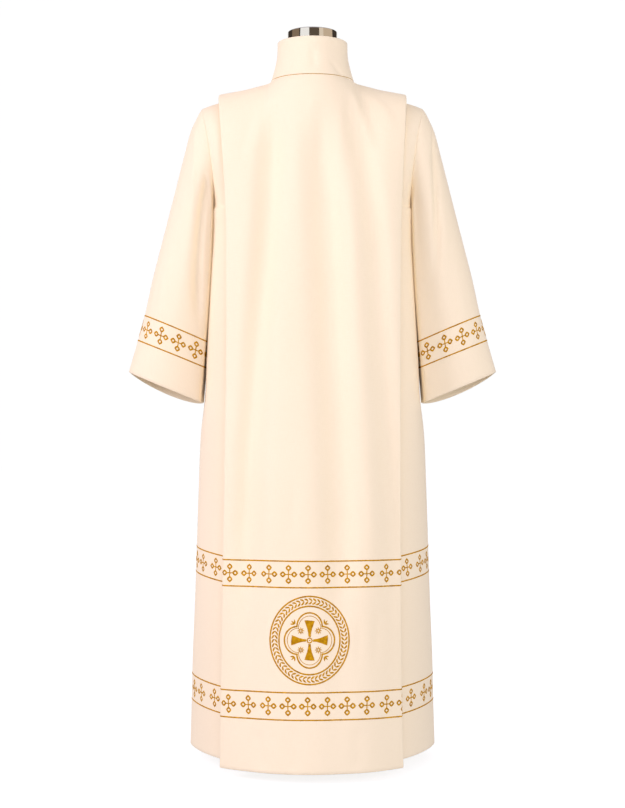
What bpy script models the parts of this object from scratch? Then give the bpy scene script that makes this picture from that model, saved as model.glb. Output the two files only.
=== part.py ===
"""Alb with a wide centre box-pleat panel, set-in bell sleeves and a high stand collar, on a limbless dress form.

Metres, +Z up. The alb's back, which carries the medallion, faces -Y. The round base of the form rests on z = 0.
"""
import math

import bpy
import numpy as np

for thing in list(bpy.data.objects):
    bpy.data.objects.remove(thing, do_unlink=True)

# Cloth and seams
CLOTH = 0.0016
COLLAR_CLOTH = 0.0024
SEAM = 0.0003
CURVED_SEAM = 0.0005

# How finely the cloth is divided
NECK_STEPS = 6
SHOULDER_STEPS = 5
RETURN_STEPS = 2
SIDE_STEPS = 9
ARMHOLE_STEPS = 9
FOLD_STEPS = 4

# Body, measured from the floor
HEM_PANEL = 0.0200
HEM_SIDE = 0.0295
PANEL_STAND = 0.0230
BODY_NAMES = (
    "z", "side_width", "side_depth", "panel_depth", "panel_left", "panel_right", "squareness", "tuck"
)
BODY_LEVELS = (
    (0.0200, 0.2530, 0.2060, 0.2380, 0.1826, 0.1790, 2.00, 0.00),
    (0.1210, 0.2503, 0.1990, 0.2295, 0.1818, 0.1765, 2.02, 0.00),
    (0.2100, 0.2483, 0.1930, 0.2220, 0.1805, 0.1757, 2.05, 0.00),
    (0.3100, 0.2442, 0.1855, 0.2130, 0.1793, 0.1755, 2.10, 0.00),
    (0.4200, 0.2404, 0.1780, 0.2035, 0.1780, 0.1756, 2.15, 0.00),
    (0.5600, 0.2358, 0.1670, 0.1900, 0.1758, 0.1757, 2.25, 0.00),
    (0.6700, 0.2300, 0.1565, 0.1780, 0.1746, 0.1759, 2.38, 0.10),
    (0.7500, 0.2170, 0.1495, 0.1710, 0.1738, 0.1761, 2.52, 0.30),
    (0.8200, 0.2110, 0.1415, 0.1630, 0.1736, 0.1764, 2.65, 0.38),
    (0.9200, 0.2025, 0.1300, 0.1515, 0.1736, 0.1774, 2.85, 0.44),
    (1.0600, 0.1965, 0.1140, 0.1360, 0.1741, 0.1789, 3.00, 0.50),
)

# Box pleat: how far the return runs back under the panel, how deep it lies, and how deep the side portion starts
PLEAT_RETURN = 0.0470
EDGE_FOLD = 0.0026
ROOT_FOLD = 0.0065
RETURN_DEPTH = 0.0052
ROOT_DEPTHS = (0.0240, 0.0230, 0.0155)
TUCK_UNDERARM = 0.50
TUCK_HOLD = 0.28
ROOT_DEPTH_HEIGHTS = (0.0200, 1.0600, 1.3900)

# Neckline, shoulders and armhole
NECK_HEIGHT = 1.3990
NECK_WIDTH = 0.0855
NECK_DEPTH = 0.0850
FRONT_DIP = 0.0350
HOLD_SHARES = (0.00, 0.20, 0.40, 0.67, 0.85, 1.00)
HOLDS = (0.30, 0.23, 0.19, 0.20, 0.25, 0.30)
SHOULDER_X = (0.0855, 0.1400, 0.1940)
SHOULDER_Z = (1.3985, 1.3842, 1.3745)
ARM_CENTRE = (0.2125, 1.2370)
ARM_HALF = (0.0160, 0.1070)
ARM_DEPTH = 0.0700
ARM_BOW = 0.0130
ARM_NAMES = ("angle", "way_x", "way_y", "way_z")
ARM_WAYS = (
    (0, 0.90, 0.00, -0.43),
    (30, 0.90, 0.30, -0.26),
    (60, 0.82, 0.55, -0.10),
    (90, 0.66, 0.75, 0.00),
    (120, 0.28, 0.96, 0.00),
    (150, -0.12, 0.99, 0.00),
    (180, -0.42, 0.91, 0.00),
)

# Sleeve rings from the armhole to the cuff: where the ring is highest and lowest, and its depth to the back and front
SLEEVE_NAMES = ("outer_x", "outer_z", "inner_x", "inner_z", "back", "front", "bow", "sag")
SLEEVE_RINGS = (
    (0.2285, 1.3440, 0.1965, 1.1300, 0.0700, 0.0700, 0.0130, 0.0000),
    (0.2347, 1.3352, 0.2055, 1.1265, 0.0710, 0.0710, 0.0095, 0.0000),
    (0.2416, 1.3212, 0.2066, 1.1170, 0.0720, 0.0720, 0.0060, 0.0000),
    (0.2530, 1.2950, 0.2068, 1.0980, 0.0720, 0.0720, 0.0030, 0.0000),
    (0.2675, 1.2400, 0.2070, 1.0590, 0.0710, 0.0710, 0.0000, 0.0000),
    (0.2890, 1.1560, 0.2083, 1.0050, 0.0695, 0.0695, 0.0000, 0.0000),
    (0.3110, 1.0705, 0.2113, 0.9500, 0.0680, 0.0680, 0.0000, 0.0000),
    (0.3310, 0.9925, 0.2150, 0.9020, 0.0670, 0.0670, 0.0000, 0.0020),
    (0.3478, 0.9164, 0.2190, 0.8570, 0.0660, 0.0660, 0.0000, 0.0045),
    (0.3620, 0.8646, 0.2235, 0.8050, 0.0645, 0.0645, 0.0000, 0.0090),
    (0.3810, 0.7990, 0.2290, 0.7360, 0.0620, 0.0620, 0.0000, 0.0160),
)

# The fold that runs down each sleeve from the armhole, on both sides: its angle round the ring, half width and depth
SLEEVE_FOLD_NAMES = ("place", "angle", "half", "depth")
SLEEVE_FOLD = (
    (0.0, 124, 17, 0.0000),
    (1.0, 124, 17, 0.0050),
    (2.0, 128, 17, 0.0110),
    (3.0, 134, 17, 0.0120),
    (4.0, 141, 17, 0.0090),
    (5.0, 148, 17, 0.0050),
    (6.5, 152, 17, 0.0000),
)

# Collar rings above the seam
COLLAR_NAMES = ("up", "width", "depth", "dip")
COLLAR_RINGS = (
    (0.0000, 0.0855, 0.0850, 0.0350),
    (0.0050, 0.0840, 0.0832, 0.0342),
    (0.0120, 0.0820, 0.0810, 0.0330),
    (0.0250, 0.0784, 0.0772, 0.0310),
    (0.0420, 0.0743, 0.0731, 0.0285),
    (0.0580, 0.0720, 0.0708, 0.0262),
    (0.0815, 0.0715, 0.0703, 0.0225),
)
COLLAR_MEET = 0.0015

# Placket strip on the hidden side
PLACKET_CLOTH = 0.0014

# Large soft troughs in the panels: x at five heights, the half width of the trough and its depth
TROUGH_HEIGHTS = (1.2600, 1.0600, 0.8500, 0.6500, 0.4800)
TROUGH_NAMES = ("x1", "x2", "x3", "x4", "x5", "half", "depth")
BACK_TROUGHS = (
    (-0.112, -0.124, -0.134, -0.149, -0.156, 0.026, 0.0050),
    (-0.012, 0.000, 0.004, 0.014, 0.026, 0.028, 0.0045),
    (0.092, 0.108, 0.120, 0.137, 0.152, 0.028, 0.0055),
)
FRONT_TROUGHS = (
    (-0.090, -0.101, -0.112, -0.124, -0.132, 0.026, 0.0050),
    (0.058, 0.050, 0.046, 0.040, 0.034, 0.028, 0.0040),
    (0.118, 0.127, 0.136, 0.143, 0.149, 0.025, 0.0045),
)

# Dress form, pole and base
FORM_NAMES = ("z", "width", "depth", "squareness")
FORM_RINGS = (
    (0.6200, 0.1480, 0.1020, 2.2),
    (0.6280, 0.1570, 0.1100, 2.2),
    (0.7000, 0.1640, 0.1150, 2.2),
    (0.8000, 0.1600, 0.1110, 2.2),
    (0.9200, 0.1420, 0.0960, 2.2),
    (1.0000, 0.1330, 0.0890, 2.2),
    (1.0900, 0.1390, 0.0910, 2.2),
    (1.1800, 0.1540, 0.0900, 2.3),
    (1.2500, 0.1640, 0.0820, 2.3),
    (1.3000, 0.1720, 0.0700, 2.1),
    (1.3330, 0.1750, 0.0640, 1.8),
    (1.3480, 0.1745, 0.0580, 1.55),
    (1.3583, 0.1680, 0.0540, 1.40),
    (1.3628, 0.1540, 0.0520, 1.35),
    (1.3683, 0.1320, 0.0520, 1.35),
    (1.3770, 0.1040, 0.0560, 1.6),
    (1.3890, 0.0790, 0.0545, 1.9),
    (1.4080, 0.0590, 0.0530, 2.0),
    (1.4350, 0.0520, 0.0520, 2.0),
    (1.4650, 0.0510, 0.0510, 2.0),
)
CAP_RADIUS = 0.0520
CAP_TOP = 1.5050
CAP_BEVEL = 0.0012
POLE_RADIUS = 0.0125
BASE_RADIUS = 0.1400
BASE_HEIGHT = 0.0140
BASE_BEVEL = 0.0050
ROUND_STEPS = 32


def unit(v):
    return v / np.linalg.norm(v, axis=-1, keepdims=True)


def mix(a, b, share):
    return a + (b - a) * share


def read(names, rows, key):
    """The row of a table at a key of its first column, as named values."""
    keys = [row[0] for row in rows]
    return {name: float(np.interp(key, keys, [row[i] for row in rows])) for i, name in enumerate(names)}


def smooth_read(names, rows, place):
    """The row of a table at a place counted in rows, along a smooth curve through all rows."""
    i = min(int(place), len(rows) - 2)
    t = place - i
    table = np.array(rows, float)
    p1, p2 = table[i], table[i + 1]
    p0 = table[i - 1] if i > 0 else 2 * p1 - p2
    p3 = table[i + 2] if i + 2 < len(rows) else 2 * p2 - p1
    found = p1 + 0.5 * t * (p2 - p0 + t * (2 * p0 - 5 * p1 + 4 * p2 - p3 + t * (3 * (p1 - p2) + p3 - p0)))
    return dict(zip(names, found))


def ring_y(x, width, depth, squareness):
    """How far back a rounded ring lies at a distance x from the centre."""
    inside = max(0.0, 1 - abs(x / width) ** squareness)
    return -depth * inside ** (1 / squareness)


def half_width(level, sign):
    return level["panel_right"] if sign > 0 else level["panel_left"]


def panel_low(f, level, sign):
    x = f * half_width(level, sign)
    y = ring_y(x, level["side_width"] + PANEL_STAND, level["panel_depth"], level["squareness"])
    return np.array((x, y, level["z"]))


def bend(start, start_way, end, end_way, t):
    """A point on the smooth curve between two ends, with the reach of each end's direction in its length."""
    one, two = start + start_way, end - end_way
    return start * (1 - t) ** 3 + one * 3 * t * (1 - t) ** 2 + two * 3 * t * t * (1 - t) + end * t ** 3


def neck(angle, dip):
    """Neckline point, the way the cloth faces, the way the body runs up, and the way on to the collar. 0 is the centre."""
    out = np.array((math.sin(angle), -math.cos(angle), 0.0))
    point = np.array((NECK_WIDTH * out[0], NECK_DEPTH * out[1], NECK_HEIGHT - dip * math.cos(angle) ** 2))
    along = unit(np.array((NECK_WIDTH * -out[1], NECK_DEPTH * out[0], dip * math.sin(2 * angle))))
    lean = math.radians(mix(28, 60, math.sin(angle) ** 2))
    face = out * math.cos(lean) + np.array((0, 0, math.sin(lean)))
    face = unit(face - along * (face @ along))
    way = np.array((0.0, 1.0, mix(1.9, 0.1, math.sin(angle))))
    return point, face, unit(way - face * (way @ face)), unit(np.cross(face, along))


def arm_point(angle):
    a = math.radians(angle)
    x = ARM_CENTRE[0] + ARM_HALF[0] * math.cos(a) - ARM_BOW * math.sin(a) ** 2
    return np.array((x, -ARM_DEPTH * math.sin(a), ARM_CENTRE[1] + ARM_HALF[1] * math.cos(a)))


def armhole(angle):
    """Armhole point, the way the seam faces, the way the body comes to it, and the way out to the sleeve."""
    turned = angle if angle <= 180 else 360 - angle
    row = read(ARM_NAMES, ARM_WAYS, turned)
    way = unit(np.array((row["way_x"], row["way_y"], row["way_z"])))
    along = unit(arm_point(turned + 0.5) - arm_point(turned - 0.5))
    body_face = np.array((1.0, 0.0, 0.0)) if turned > 179 else unit(np.cross(along, way))
    start = unit(sleeve_point(turned, 0.5) - arm_point(turned))
    sleeve_face = unit(np.cross(along, start))
    face = unit(body_face + sleeve_face)
    out = unit(np.cross(face, along))
    flip = np.array((1, 1 if angle <= 180 else -1, 1))
    return arm_point(turned) * flip, face * flip, way * flip, out * np.sign(out[0]) * flip


def panel_top(f, edge, dip):
    """Where a panel column ends, the way the cloth faces there if it is on the neckline, and the way it arrives."""
    corner = NECK_STEPS / (NECK_STEPS + SHOULDER_STEPS) * edge
    if f <= corner + 1e-9:
        point, face, way, onward = neck(math.pi / 2 * f / corner, dip)
        return point - onward * CURVED_SEAM / 2, face, way
    x = mix(NECK_WIDTH, SHOULDER_X[-1], (f - corner) / (1 - corner))
    return np.array((x, 0.0, np.interp(x, SHOULDER_X, SHOULDER_Z))), None, unit(np.array((0.0, 1.0, 0.1)))


def row_angles():
    """The armhole's angle at each row above the chest, from the underarm to the tip."""
    return [180 * (1 - i / ARMHOLE_STEPS) for i in range(ARMHOLE_STEPS + 1)]


def panel_column(f, edge, sign, dip):
    """The panel's points at a share f of its half width, from the hem to the top, and the facing of its top."""
    levels = [dict(zip(BODY_NAMES, row)) for row in BODY_LEVELS]
    points = [panel_low(f, level, sign) for level in levels]
    top, face, way = panel_top(f, edge, dip)
    low, before = points[-1], points[-2]
    reach = np.linalg.norm(top - low)
    hold = float(np.interp(f / edge * (NECK_STEPS + SHOULDER_STEPS) / NECK_STEPS, HOLD_SHARES, HOLDS))
    ways = (unit(low - before) * reach * 0.36, way * reach * hold)
    tip = arm_point(0)[2]
    for angle in row_angles():
        climbed = (arm_point(angle)[2] - low[2]) / (tip - low[2])
        wanted = mix(low[2], top[2], climbed)
        a, b = 0.0, 1.0
        for _ in range(40):
            t = (a + b) / 2
            if bend(low, ways[0], top, ways[1], t)[2] < wanted:
                a = t
            else:
                b = t
        points.append(top if angle == 0 else bend(low, ways[0], top, ways[1], b))
    points[0][2] = HEM_PANEL
    return np.array(points), face


def trough_depth(x, z, troughs):
    """How far the panel sinks at a point, from its large soft troughs."""
    sunk = 0.0
    fade = float(np.interp(z, (0.36, 0.60, 1.22, 1.34), (0.0, 1.0, 1.0, 0.0)))
    for row in troughs:
        trough = dict(zip(TROUGH_NAMES, row))
        centre = float(np.interp(-z, [-h for h in TROUGH_HEIGHTS], row[:5]))
        sunk += trough["depth"] * math.exp(-((x - centre) / trough["half"]) ** 2)
    return sunk * fade


def pleat_path():
    """The panel's and the pleat's columns from the centre to the root: (share of the half width, depth share)."""
    half = 0.178
    edge = 1 - EDGE_FOLD / half
    steps = NECK_STEPS + SHOULDER_STEPS
    path = [(edge * i / steps, 0.0) for i in range(steps + 1)]
    for i in range(1, FOLD_STEPS + 1):
        a = math.pi * i / FOLD_STEPS
        path.append((1 - EDGE_FOLD * (1 - math.sin(a)) / half, (1 - math.cos(a)) / 2))
    inner = PLEAT_RETURN - ROOT_FOLD
    path += [(1 - mix(EDGE_FOLD, inner, i / RETURN_STEPS) / half, 1.0) for i in range(1, RETURN_STEPS + 1)]
    for i in range(1, FOLD_STEPS + 1):
        a = math.pi * i / FOLD_STEPS
        path.append((1 - (inner + ROOT_FOLD * math.sin(a)) / half, 1 + (1 - math.cos(a)) / 2))
    return path, edge


def half_body(sign, dip, troughs):
    """Middle points of the half body at +X, and the facings that its seams need."""
    path, edge = pleat_path()
    rows = len(BODY_LEVELS) + ARMHOLE_STEPS + 1
    points = np.zeros((rows, len(path) + SIDE_STEPS, 3))
    faces = np.full(points.shape, np.nan)
    for c, (f, deep) in enumerate(path):
        column, top_face = panel_column(f, edge, sign, dip)
        for r in range(rows - 1):
            column[r, 1] += trough_depth(sign * column[r, 0], column[r, 2], troughs)
        if deep == 0:
            points[:, c] = column
            if top_face is not None:
                faces[-1, c] = top_face
            continue
        across = panel_column(f + 0.01, edge, sign, dip)[0] - panel_column(f - 0.01, edge, sign, dip)[0]
        up = np.gradient(column, axis=0)
        up[-1] = (0, 1, 0)
        facing = unit(np.cross(across, up))
        root = np.interp(column[:, 2], ROOT_DEPTH_HEIGHTS, ROOT_DEPTHS)
        depth = np.interp(deep, (0, 1), (0, RETURN_DEPTH)) + max(0, deep - 1) * (root - RETURN_DEPTH)
        points[:, c] = column - facing * depth[:, None]
        points[0, c, 2] = mix(HEM_PANEL, HEM_SIDE, deep / 2)
    last = len(path) - 1
    angles = row_angles()
    for r in range(rows):
        start = points[r, last]
        start_way = unit(across[r])
        if r < len(BODY_LEVELS):
            row = dict(zip(BODY_NAMES, BODY_LEVELS[r]))
            end = np.array((row["side_width"], -SEAM / 2, row["z"]))
            end_way, face, tuck = unit(np.array((-row["tuck"], 1.0, 0.0))), None, row["tuck"]
            if r == 0:
                end[2] = HEM_SIDE
        else:
            angle = angles[r - len(BODY_LEVELS)]
            end, face, end_way, out = armhole(angle)
            tuck = TUCK_UNDERARM * max(0.0, angle - 90) / 90
            end = end - out * CURVED_SEAM / 2
        reach = np.linalg.norm(end - start)
        end_hold = float(np.interp(end[2], (0.02, 0.70), (0.20, 0.36))) + TUCK_HOLD * tuck
        for i in range(1, SIDE_STEPS + 1):
            t = i / SIDE_STEPS
            points[r, last + i] = bend(start, start_way * reach * 0.37, end, end_way * reach * end_hold, t)
        if r == 0:
            points[0, last:, 2] = HEM_SIDE
        if face is not None:
            faces[r, -1] = face
    return points, faces


def body(sign_y, dip, troughs):
    """Middle points and facings of the whole back, or of the front where sign_y is 1."""
    right, right_faces = half_body(1, dip, troughs)
    left, left_faces = half_body(-1, dip, troughs)
    flip = np.array((-1, 1, 1))
    left, left_faces = left * flip, left_faces * flip
    points = np.concatenate([left[:, :0:-1], right], axis=1)
    faces = np.concatenate([left_faces[:, :0:-1], right_faces], axis=1)
    shoulder = np.abs(points[-1, :, 1]) < 1e-3
    points[-1, shoulder, 1] = -SEAM / 2
    normals = facings(points)
    along = np.gradient(points[-1], axis=0)
    up = unit(np.stack([-along[:, 2], np.zeros(len(along)), along[:, 0]], axis=1))
    normals[-1, shoulder] = up[shoulder]
    seam_rows = len(BODY_LEVELS)
    normals[:seam_rows, (0, -1), 1] = 0
    given = ~np.isnan(faces[..., 0])
    normals[given] = faces[given]
    normals = unit(normals)
    underarm = seam_rows
    points[underarm, (0, -1), 1] = -SEAM / 2
    if sign_y > 0:
        mirror = np.array((1, -1, 1))
        points, normals = (points * mirror)[:, ::-1], (normals * mirror)[:, ::-1]
    return points, normals


def facings(points, closed=False):
    """The way each point of a grid faces, from its neighbours."""
    if closed:
        across = np.roll(points, -1, axis=1) - np.roll(points, 1, axis=1)
    else:
        across = np.gradient(points, axis=1)
    up = np.gradient(points, axis=0)
    return unit(np.cross(across, up))


def sleeve(sign):
    """Middle points and facings of a sleeve, from the armhole to the cuff, closed around."""
    around = 2 * ARMHOLE_STEPS
    rows = len(SLEEVE_RINGS)
    points = np.zeros((rows, around, 3))
    faces = np.zeros((around, 3))
    for c in range(around):
        angle = 360 * c / around
        point, face, _, out = armhole(angle)
        points[0, c] = point + out * CURVED_SEAM / 2
        faces[c] = face
        for r in range(1, rows):
            points[r, c] = sleeve_point(angle, r)
    normals = facings(points, closed=True)
    normals[0] = faces
    if sign < 0:
        flip = np.array((-1, 1, 1))
        points, normals = (points * flip)[:, ::-1], (normals * flip)[:, ::-1]
    return points, normals


def sleeve_point(angle, place):
    """The middle point of the right sleeve at an angle round the ring that lies that many rings from the armhole."""
    ring = smooth_read(SLEEVE_NAMES, SLEEVE_RINGS, place)
    a = math.radians(angle)
    share = (1 + math.cos(a)) / 2
    x = mix(ring["inner_x"], ring["outer_x"], share) - ring["bow"] * math.sin(a) ** 2
    z = mix(ring["inner_z"], ring["outer_z"], share)
    fold = read(SLEEVE_FOLD_NAMES, SLEEVE_FOLD, place)
    turned = angle if angle <= 180 else 360 - angle
    sunk = fold["depth"] * math.exp(-((turned - fold["angle"]) / fold["half"]) ** 2)
    y = -(ring["back"] - sunk) * math.sin(a) if angle <= 180 else -(ring["front"] - sunk) * math.sin(a)
    hidden = max(0.0, -math.sin(a))
    return np.array((x, y, z - ring["sag"] * hidden ** 1.3))


def collar_grid():
    """Middle points and facings of the collar, from its end at the hidden centre round the back to the other end."""
    around = 4 * NECK_STEPS
    points = np.zeros((len(COLLAR_RINGS), around + 1, 3))
    seam_faces = np.zeros((around + 1, 3))
    for r, row in enumerate(COLLAR_RINGS):
        ring = dict(zip(COLLAR_NAMES, row))
        for c in range(around + 1):
            a = 2 * math.pi * c / around
            hidden = max(0.0, math.cos(a))
            x, y = -ring["width"] * math.sin(a), ring["depth"] * math.cos(a)
            z = NECK_HEIGHT + ring["up"] - ring["dip"] * hidden ** 2
            points[r, c] = (x, y, z)
    for c in range(around + 1):
        a = 2 * math.pi * c / around
        back = math.cos(a) <= 0
        angle = math.asin(min(1.0, abs(math.sin(a))))
        _, face, _, onward = neck(angle, 0.0 if back else FRONT_DIP)
        turn = np.array((-1.0 if math.sin(a) > 0 else 1.0, 1.0 if back else -1.0, 1.0))
        seam_faces[c] = face * turn
        points[0, c] += onward * turn * CURVED_SEAM / 2
    points[:, 0, 0] -= COLLAR_MEET / 2
    points[:, -1, 0] += COLLAR_MEET / 2
    normals = facings(points)
    normals[0] = seam_faces
    return points, normals


def wall(name, points, normals, thick, closed=False, lift=0.0):
    """Makes a grid of middle points into a closed wall. A lifted wall lies wholly outside its points."""
    rows, around = points.shape[:2]
    shift = lift + thick if lift else thick / 2
    outer = points + normals * shift
    inner = points + normals * (shift - thick)
    verts = np.concatenate([outer.reshape(-1, 3), inner.reshape(-1, 3)])
    count = rows * around
    tris = []

    def quad(a, b, c, d):
        tris.extend([(a, b, c), (a, c, d)])

    across = around if closed else around - 1
    for r in range(rows - 1):
        for c in range(across):
            e = (c + 1) % around
            a, b, u, v = r * around + c, r * around + e, (r + 1) * around + e, (r + 1) * around + c
            quad(a, b, u, v)
            quad(count + a, count + v, count + u, count + b)
    for c in range(across):
        e = (c + 1) % around
        a, b = c, e
        quad(a, count + a, count + b, b)
        a, b = (rows - 1) * around + c, (rows - 1) * around + e
        quad(a, b, count + b, count + a)
    if not closed:
        for r in range(rows - 1):
            a, v = r * around, (r + 1) * around
            quad(a, v, count + v, count + a)
            b, u = a + around - 1, v + around - 1
            quad(b, count + b, count + u, u)
    return solid(name, verts, tris)


def solid(name, verts, tris):
    mesh = bpy.data.meshes.new(name)
    mesh.from_pydata([tuple(map(float, v)) for v in verts], [], [tuple(map(int, t)) for t in tris])
    mesh.validate()
    obj = bpy.data.objects.new(name, mesh)
    bpy.context.scene.collection.objects.link(obj)
    return obj


def stack(name, rings, around):
    """A solid through level rings: (z, width, depth, squareness), flat at both ends."""
    verts, tris = [], []
    for z, width, depth, squareness in rings:
        for i in range(around):
            a = 2 * math.pi * i / around
            c, s = math.cos(a), math.sin(a)
            power = 2 / squareness
            verts.append((width * math.copysign(abs(c) ** power, c), depth * math.copysign(abs(s) ** power, s), z))
    for r in range(len(rings) - 1):
        for i in range(around):
            e = (i + 1) % around
            a, b, u, v = r * around + i, r * around + e, (r + 1) * around + e, (r + 1) * around + i
            tris.extend([(a, b, u), (a, u, v)])
    last = (len(rings) - 1) * around
    for i in range(1, around - 1):
        tris.append((0, i + 1, i))
        tris.append((last, last + i, last + i + 1))
    return solid(name, verts, tris)


def placket_grid(points, normals):
    """The middle three columns of the front from the chest to the collar seam, on its outer side."""
    middle = points.shape[1] // 2
    first = len(BODY_LEVELS) - 1
    part = slice(middle - 1, middle + 2)
    outer = points + normals * CLOTH / 2
    return outer[first:, part], normals[first:, part]


def paint(obj, colour, rough, metal=0.0):
    material = bpy.data.materials.new(obj.name)
    material.use_nodes = True
    shader = material.node_tree.nodes["Principled BSDF"]
    shader.inputs["Base Color"].default_value = (*colour, 1)
    shader.inputs["Roughness"].default_value = rough
    shader.inputs["Metallic"].default_value = metal
    obj.data.materials.append(material)


CREAM = (0.930, 0.830, 0.660)
FORM_CREAM = (0.780, 0.740, 0.670)
BRIGHT = (0.800, 0.780, 0.750)

back_points, back_faces = body(-1, 0.0, BACK_TROUGHS)
front_points, front_faces = body(1, FRONT_DIP, FRONT_TROUGHS)
collar_points, collar_faces = collar_grid()
cloth = [
    wall("back", back_points, back_faces, CLOTH),
    wall("front", front_points, front_faces, CLOTH),
    wall("sleeve_left", *sleeve(-1), CLOTH, closed=True),
    wall("sleeve_right", *sleeve(1), CLOTH, closed=True),
    wall("collar", collar_points, collar_faces, COLLAR_CLOTH),
    wall("placket", *placket_grid(front_points, front_faces), PLACKET_CLOTH, lift=SEAM),
]
for obj in cloth:
    paint(obj, CREAM, 0.85)

neck_top = FORM_RINGS[-1][0]
torso = stack("form_torso", FORM_RINGS, ROUND_STEPS)
paint(torso, FORM_CREAM, 0.8)
cap_rings = (
    (neck_top + SEAM, CAP_RADIUS, CAP_RADIUS, 2.0),
    (CAP_TOP - CAP_BEVEL, CAP_RADIUS, CAP_RADIUS, 2.0),
    (CAP_TOP, CAP_RADIUS - CAP_BEVEL, CAP_RADIUS - CAP_BEVEL, 2.0),
)
paint(stack("neck_cap", cap_rings, 48), BRIGHT, 0.12, 1.0)
pole_rings = (
    (BASE_HEIGHT + SEAM, POLE_RADIUS, POLE_RADIUS, 2.0),
    (FORM_RINGS[0][0] - SEAM, POLE_RADIUS, POLE_RADIUS, 2.0),
)
paint(stack("pole", pole_rings, 24), BRIGHT, 0.25, 1.0)
base_rings = (
    (0.0, BASE_RADIUS, BASE_RADIUS, 2.0),
    (BASE_HEIGHT - BASE_BEVEL, BASE_RADIUS, BASE_RADIUS, 2.0),
    (BASE_HEIGHT, BASE_RADIUS - BASE_BEVEL, BASE_RADIUS - BASE_BEVEL, 2.0),
)
paint(stack("base", base_rings, 48), BRIGHT, 0.3, 1.0)
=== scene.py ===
"""An alb on a limbless dress form: finer cloth, gold embroidery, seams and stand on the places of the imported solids.

Metres, +Z up. The alb's back, which carries the medallion, faces -Y and the camera.
"""
import math

import bpy
import numpy as np
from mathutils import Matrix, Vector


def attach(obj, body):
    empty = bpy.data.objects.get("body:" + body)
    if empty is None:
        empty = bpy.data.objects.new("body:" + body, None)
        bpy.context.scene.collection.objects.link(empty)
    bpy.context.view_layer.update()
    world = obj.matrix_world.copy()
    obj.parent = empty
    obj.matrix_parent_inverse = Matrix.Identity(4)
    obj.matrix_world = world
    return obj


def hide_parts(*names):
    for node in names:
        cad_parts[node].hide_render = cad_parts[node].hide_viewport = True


class Sizes:
    """Sizes by name."""

    def __init__(self, **sizes):
        for name, size in sizes.items():
            setattr(self, name, size)


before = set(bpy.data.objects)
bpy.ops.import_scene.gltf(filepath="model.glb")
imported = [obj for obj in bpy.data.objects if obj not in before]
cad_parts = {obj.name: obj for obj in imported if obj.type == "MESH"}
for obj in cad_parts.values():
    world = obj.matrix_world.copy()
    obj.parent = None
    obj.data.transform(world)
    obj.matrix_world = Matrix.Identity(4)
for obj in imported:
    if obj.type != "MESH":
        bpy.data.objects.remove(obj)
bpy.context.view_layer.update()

MM = 0.001

# Cloth and seams
CLOTH = 0.0014
COLLAR_CLOTH = 0.0022
SEAM = 0.0003
CURVED_SEAM = 0.0005

# The grid of each cloth: the height of a row, then the columns or rows in each stretch
BACK_GRID = Sizes(row=0.0065, neck=16, shoulder=13, fold=8, turn=6, side=36, arm=54)
FRONT_GRID = Sizes(row=0.0100, neck=10, shoulder=8, fold=6, turn=4, side=22, arm=36)
SLEEVE_AROUND = 108
SLEEVE_STEP = 0.0062
COLLAR_AROUND = 120
COLLAR_ROWS = 18

# Body, measured from the floor
HEM_PANEL = 0.0200
HEM_SIDE = 0.0295
PANEL_STAND = 0.0230
# Over how much height the pleat's higher hem fades out
HEM_FADE = 0.1010
BODY_NAMES = ("z", "side_width", "panel_depth", "panel_left", "panel_right", "squareness", "tuck")
BODY_LEVELS = (
    (0.0200, 0.2530, 0.2380, 0.1826, 0.1790, 2.00, 0.00),
    (0.1210, 0.2503, 0.2295, 0.1818, 0.1765, 2.02, 0.00),
    (0.2100, 0.2483, 0.2220, 0.1805, 0.1757, 2.05, 0.00),
    (0.3100, 0.2442, 0.2130, 0.1793, 0.1755, 2.10, 0.00),
    (0.4200, 0.2404, 0.2035, 0.1780, 0.1756, 2.15, 0.00),
    (0.5600, 0.2358, 0.1900, 0.1758, 0.1757, 2.25, 0.00),
    (0.6700, 0.2300, 0.1780, 0.1746, 0.1759, 2.38, 0.10),
    (0.7500, 0.2170, 0.1710, 0.1738, 0.1761, 2.52, 0.30),
    (0.8200, 0.2125, 0.1630, 0.1736, 0.1764, 2.65, 0.38),
    (0.9200, 0.2065, 0.1515, 0.1736, 0.1774, 2.85, 0.44),
    (1.0600, 0.2000, 0.1360, 0.1741, 0.1789, 3.00, 0.50),
)

# Box pleat: how far the return runs back under the panel, its two folds, and how deep it and its root lie
HALF_PANEL = 0.1780
PLEAT_RETURN = 0.0470
EDGE_FOLD = 0.0026
ROOT_FOLD = 0.0065
RETURN_DEPTH = 0.0052
ROOT_DEPTH_HEIGHTS = (0.0200, 1.0600, 1.3900)
ROOT_DEPTHS = (0.0240, 0.0230, 0.0155)

# The reach of the curves at their ends, as shares of the way: up the panel, and round the side portion
CURVE_STEPS = 800
PANEL_REACH = 0.36
SIDE_REACH = 0.37
SIDE_HOLD_HEIGHTS = (0.0200, 0.7000)
SIDE_HOLDS = (0.20, 0.36)
TUCK_UNDERARM = 0.50
TUCK_HOLD = 0.28
# How far the cloth round the underarm is smoothed, and how often
UNDERARM_SPREAD = 0.0600
UNDERARM_ROUNDS = 60

# Neckline, shoulders and armhole
NECK_HEIGHT = 1.3990
NECK_WIDTH = 0.0855
NECK_DEPTH = 0.0850
FRONT_DIP = 0.0350
NECK_SHARE = 6 / 11
# At the centre and at the side: how far the cloth leans back, in degrees, and how steeply the body comes to the neck
NECK_LEANS = (28, 60)
NECK_CLIMBS = (1.9, 0.1)
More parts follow.
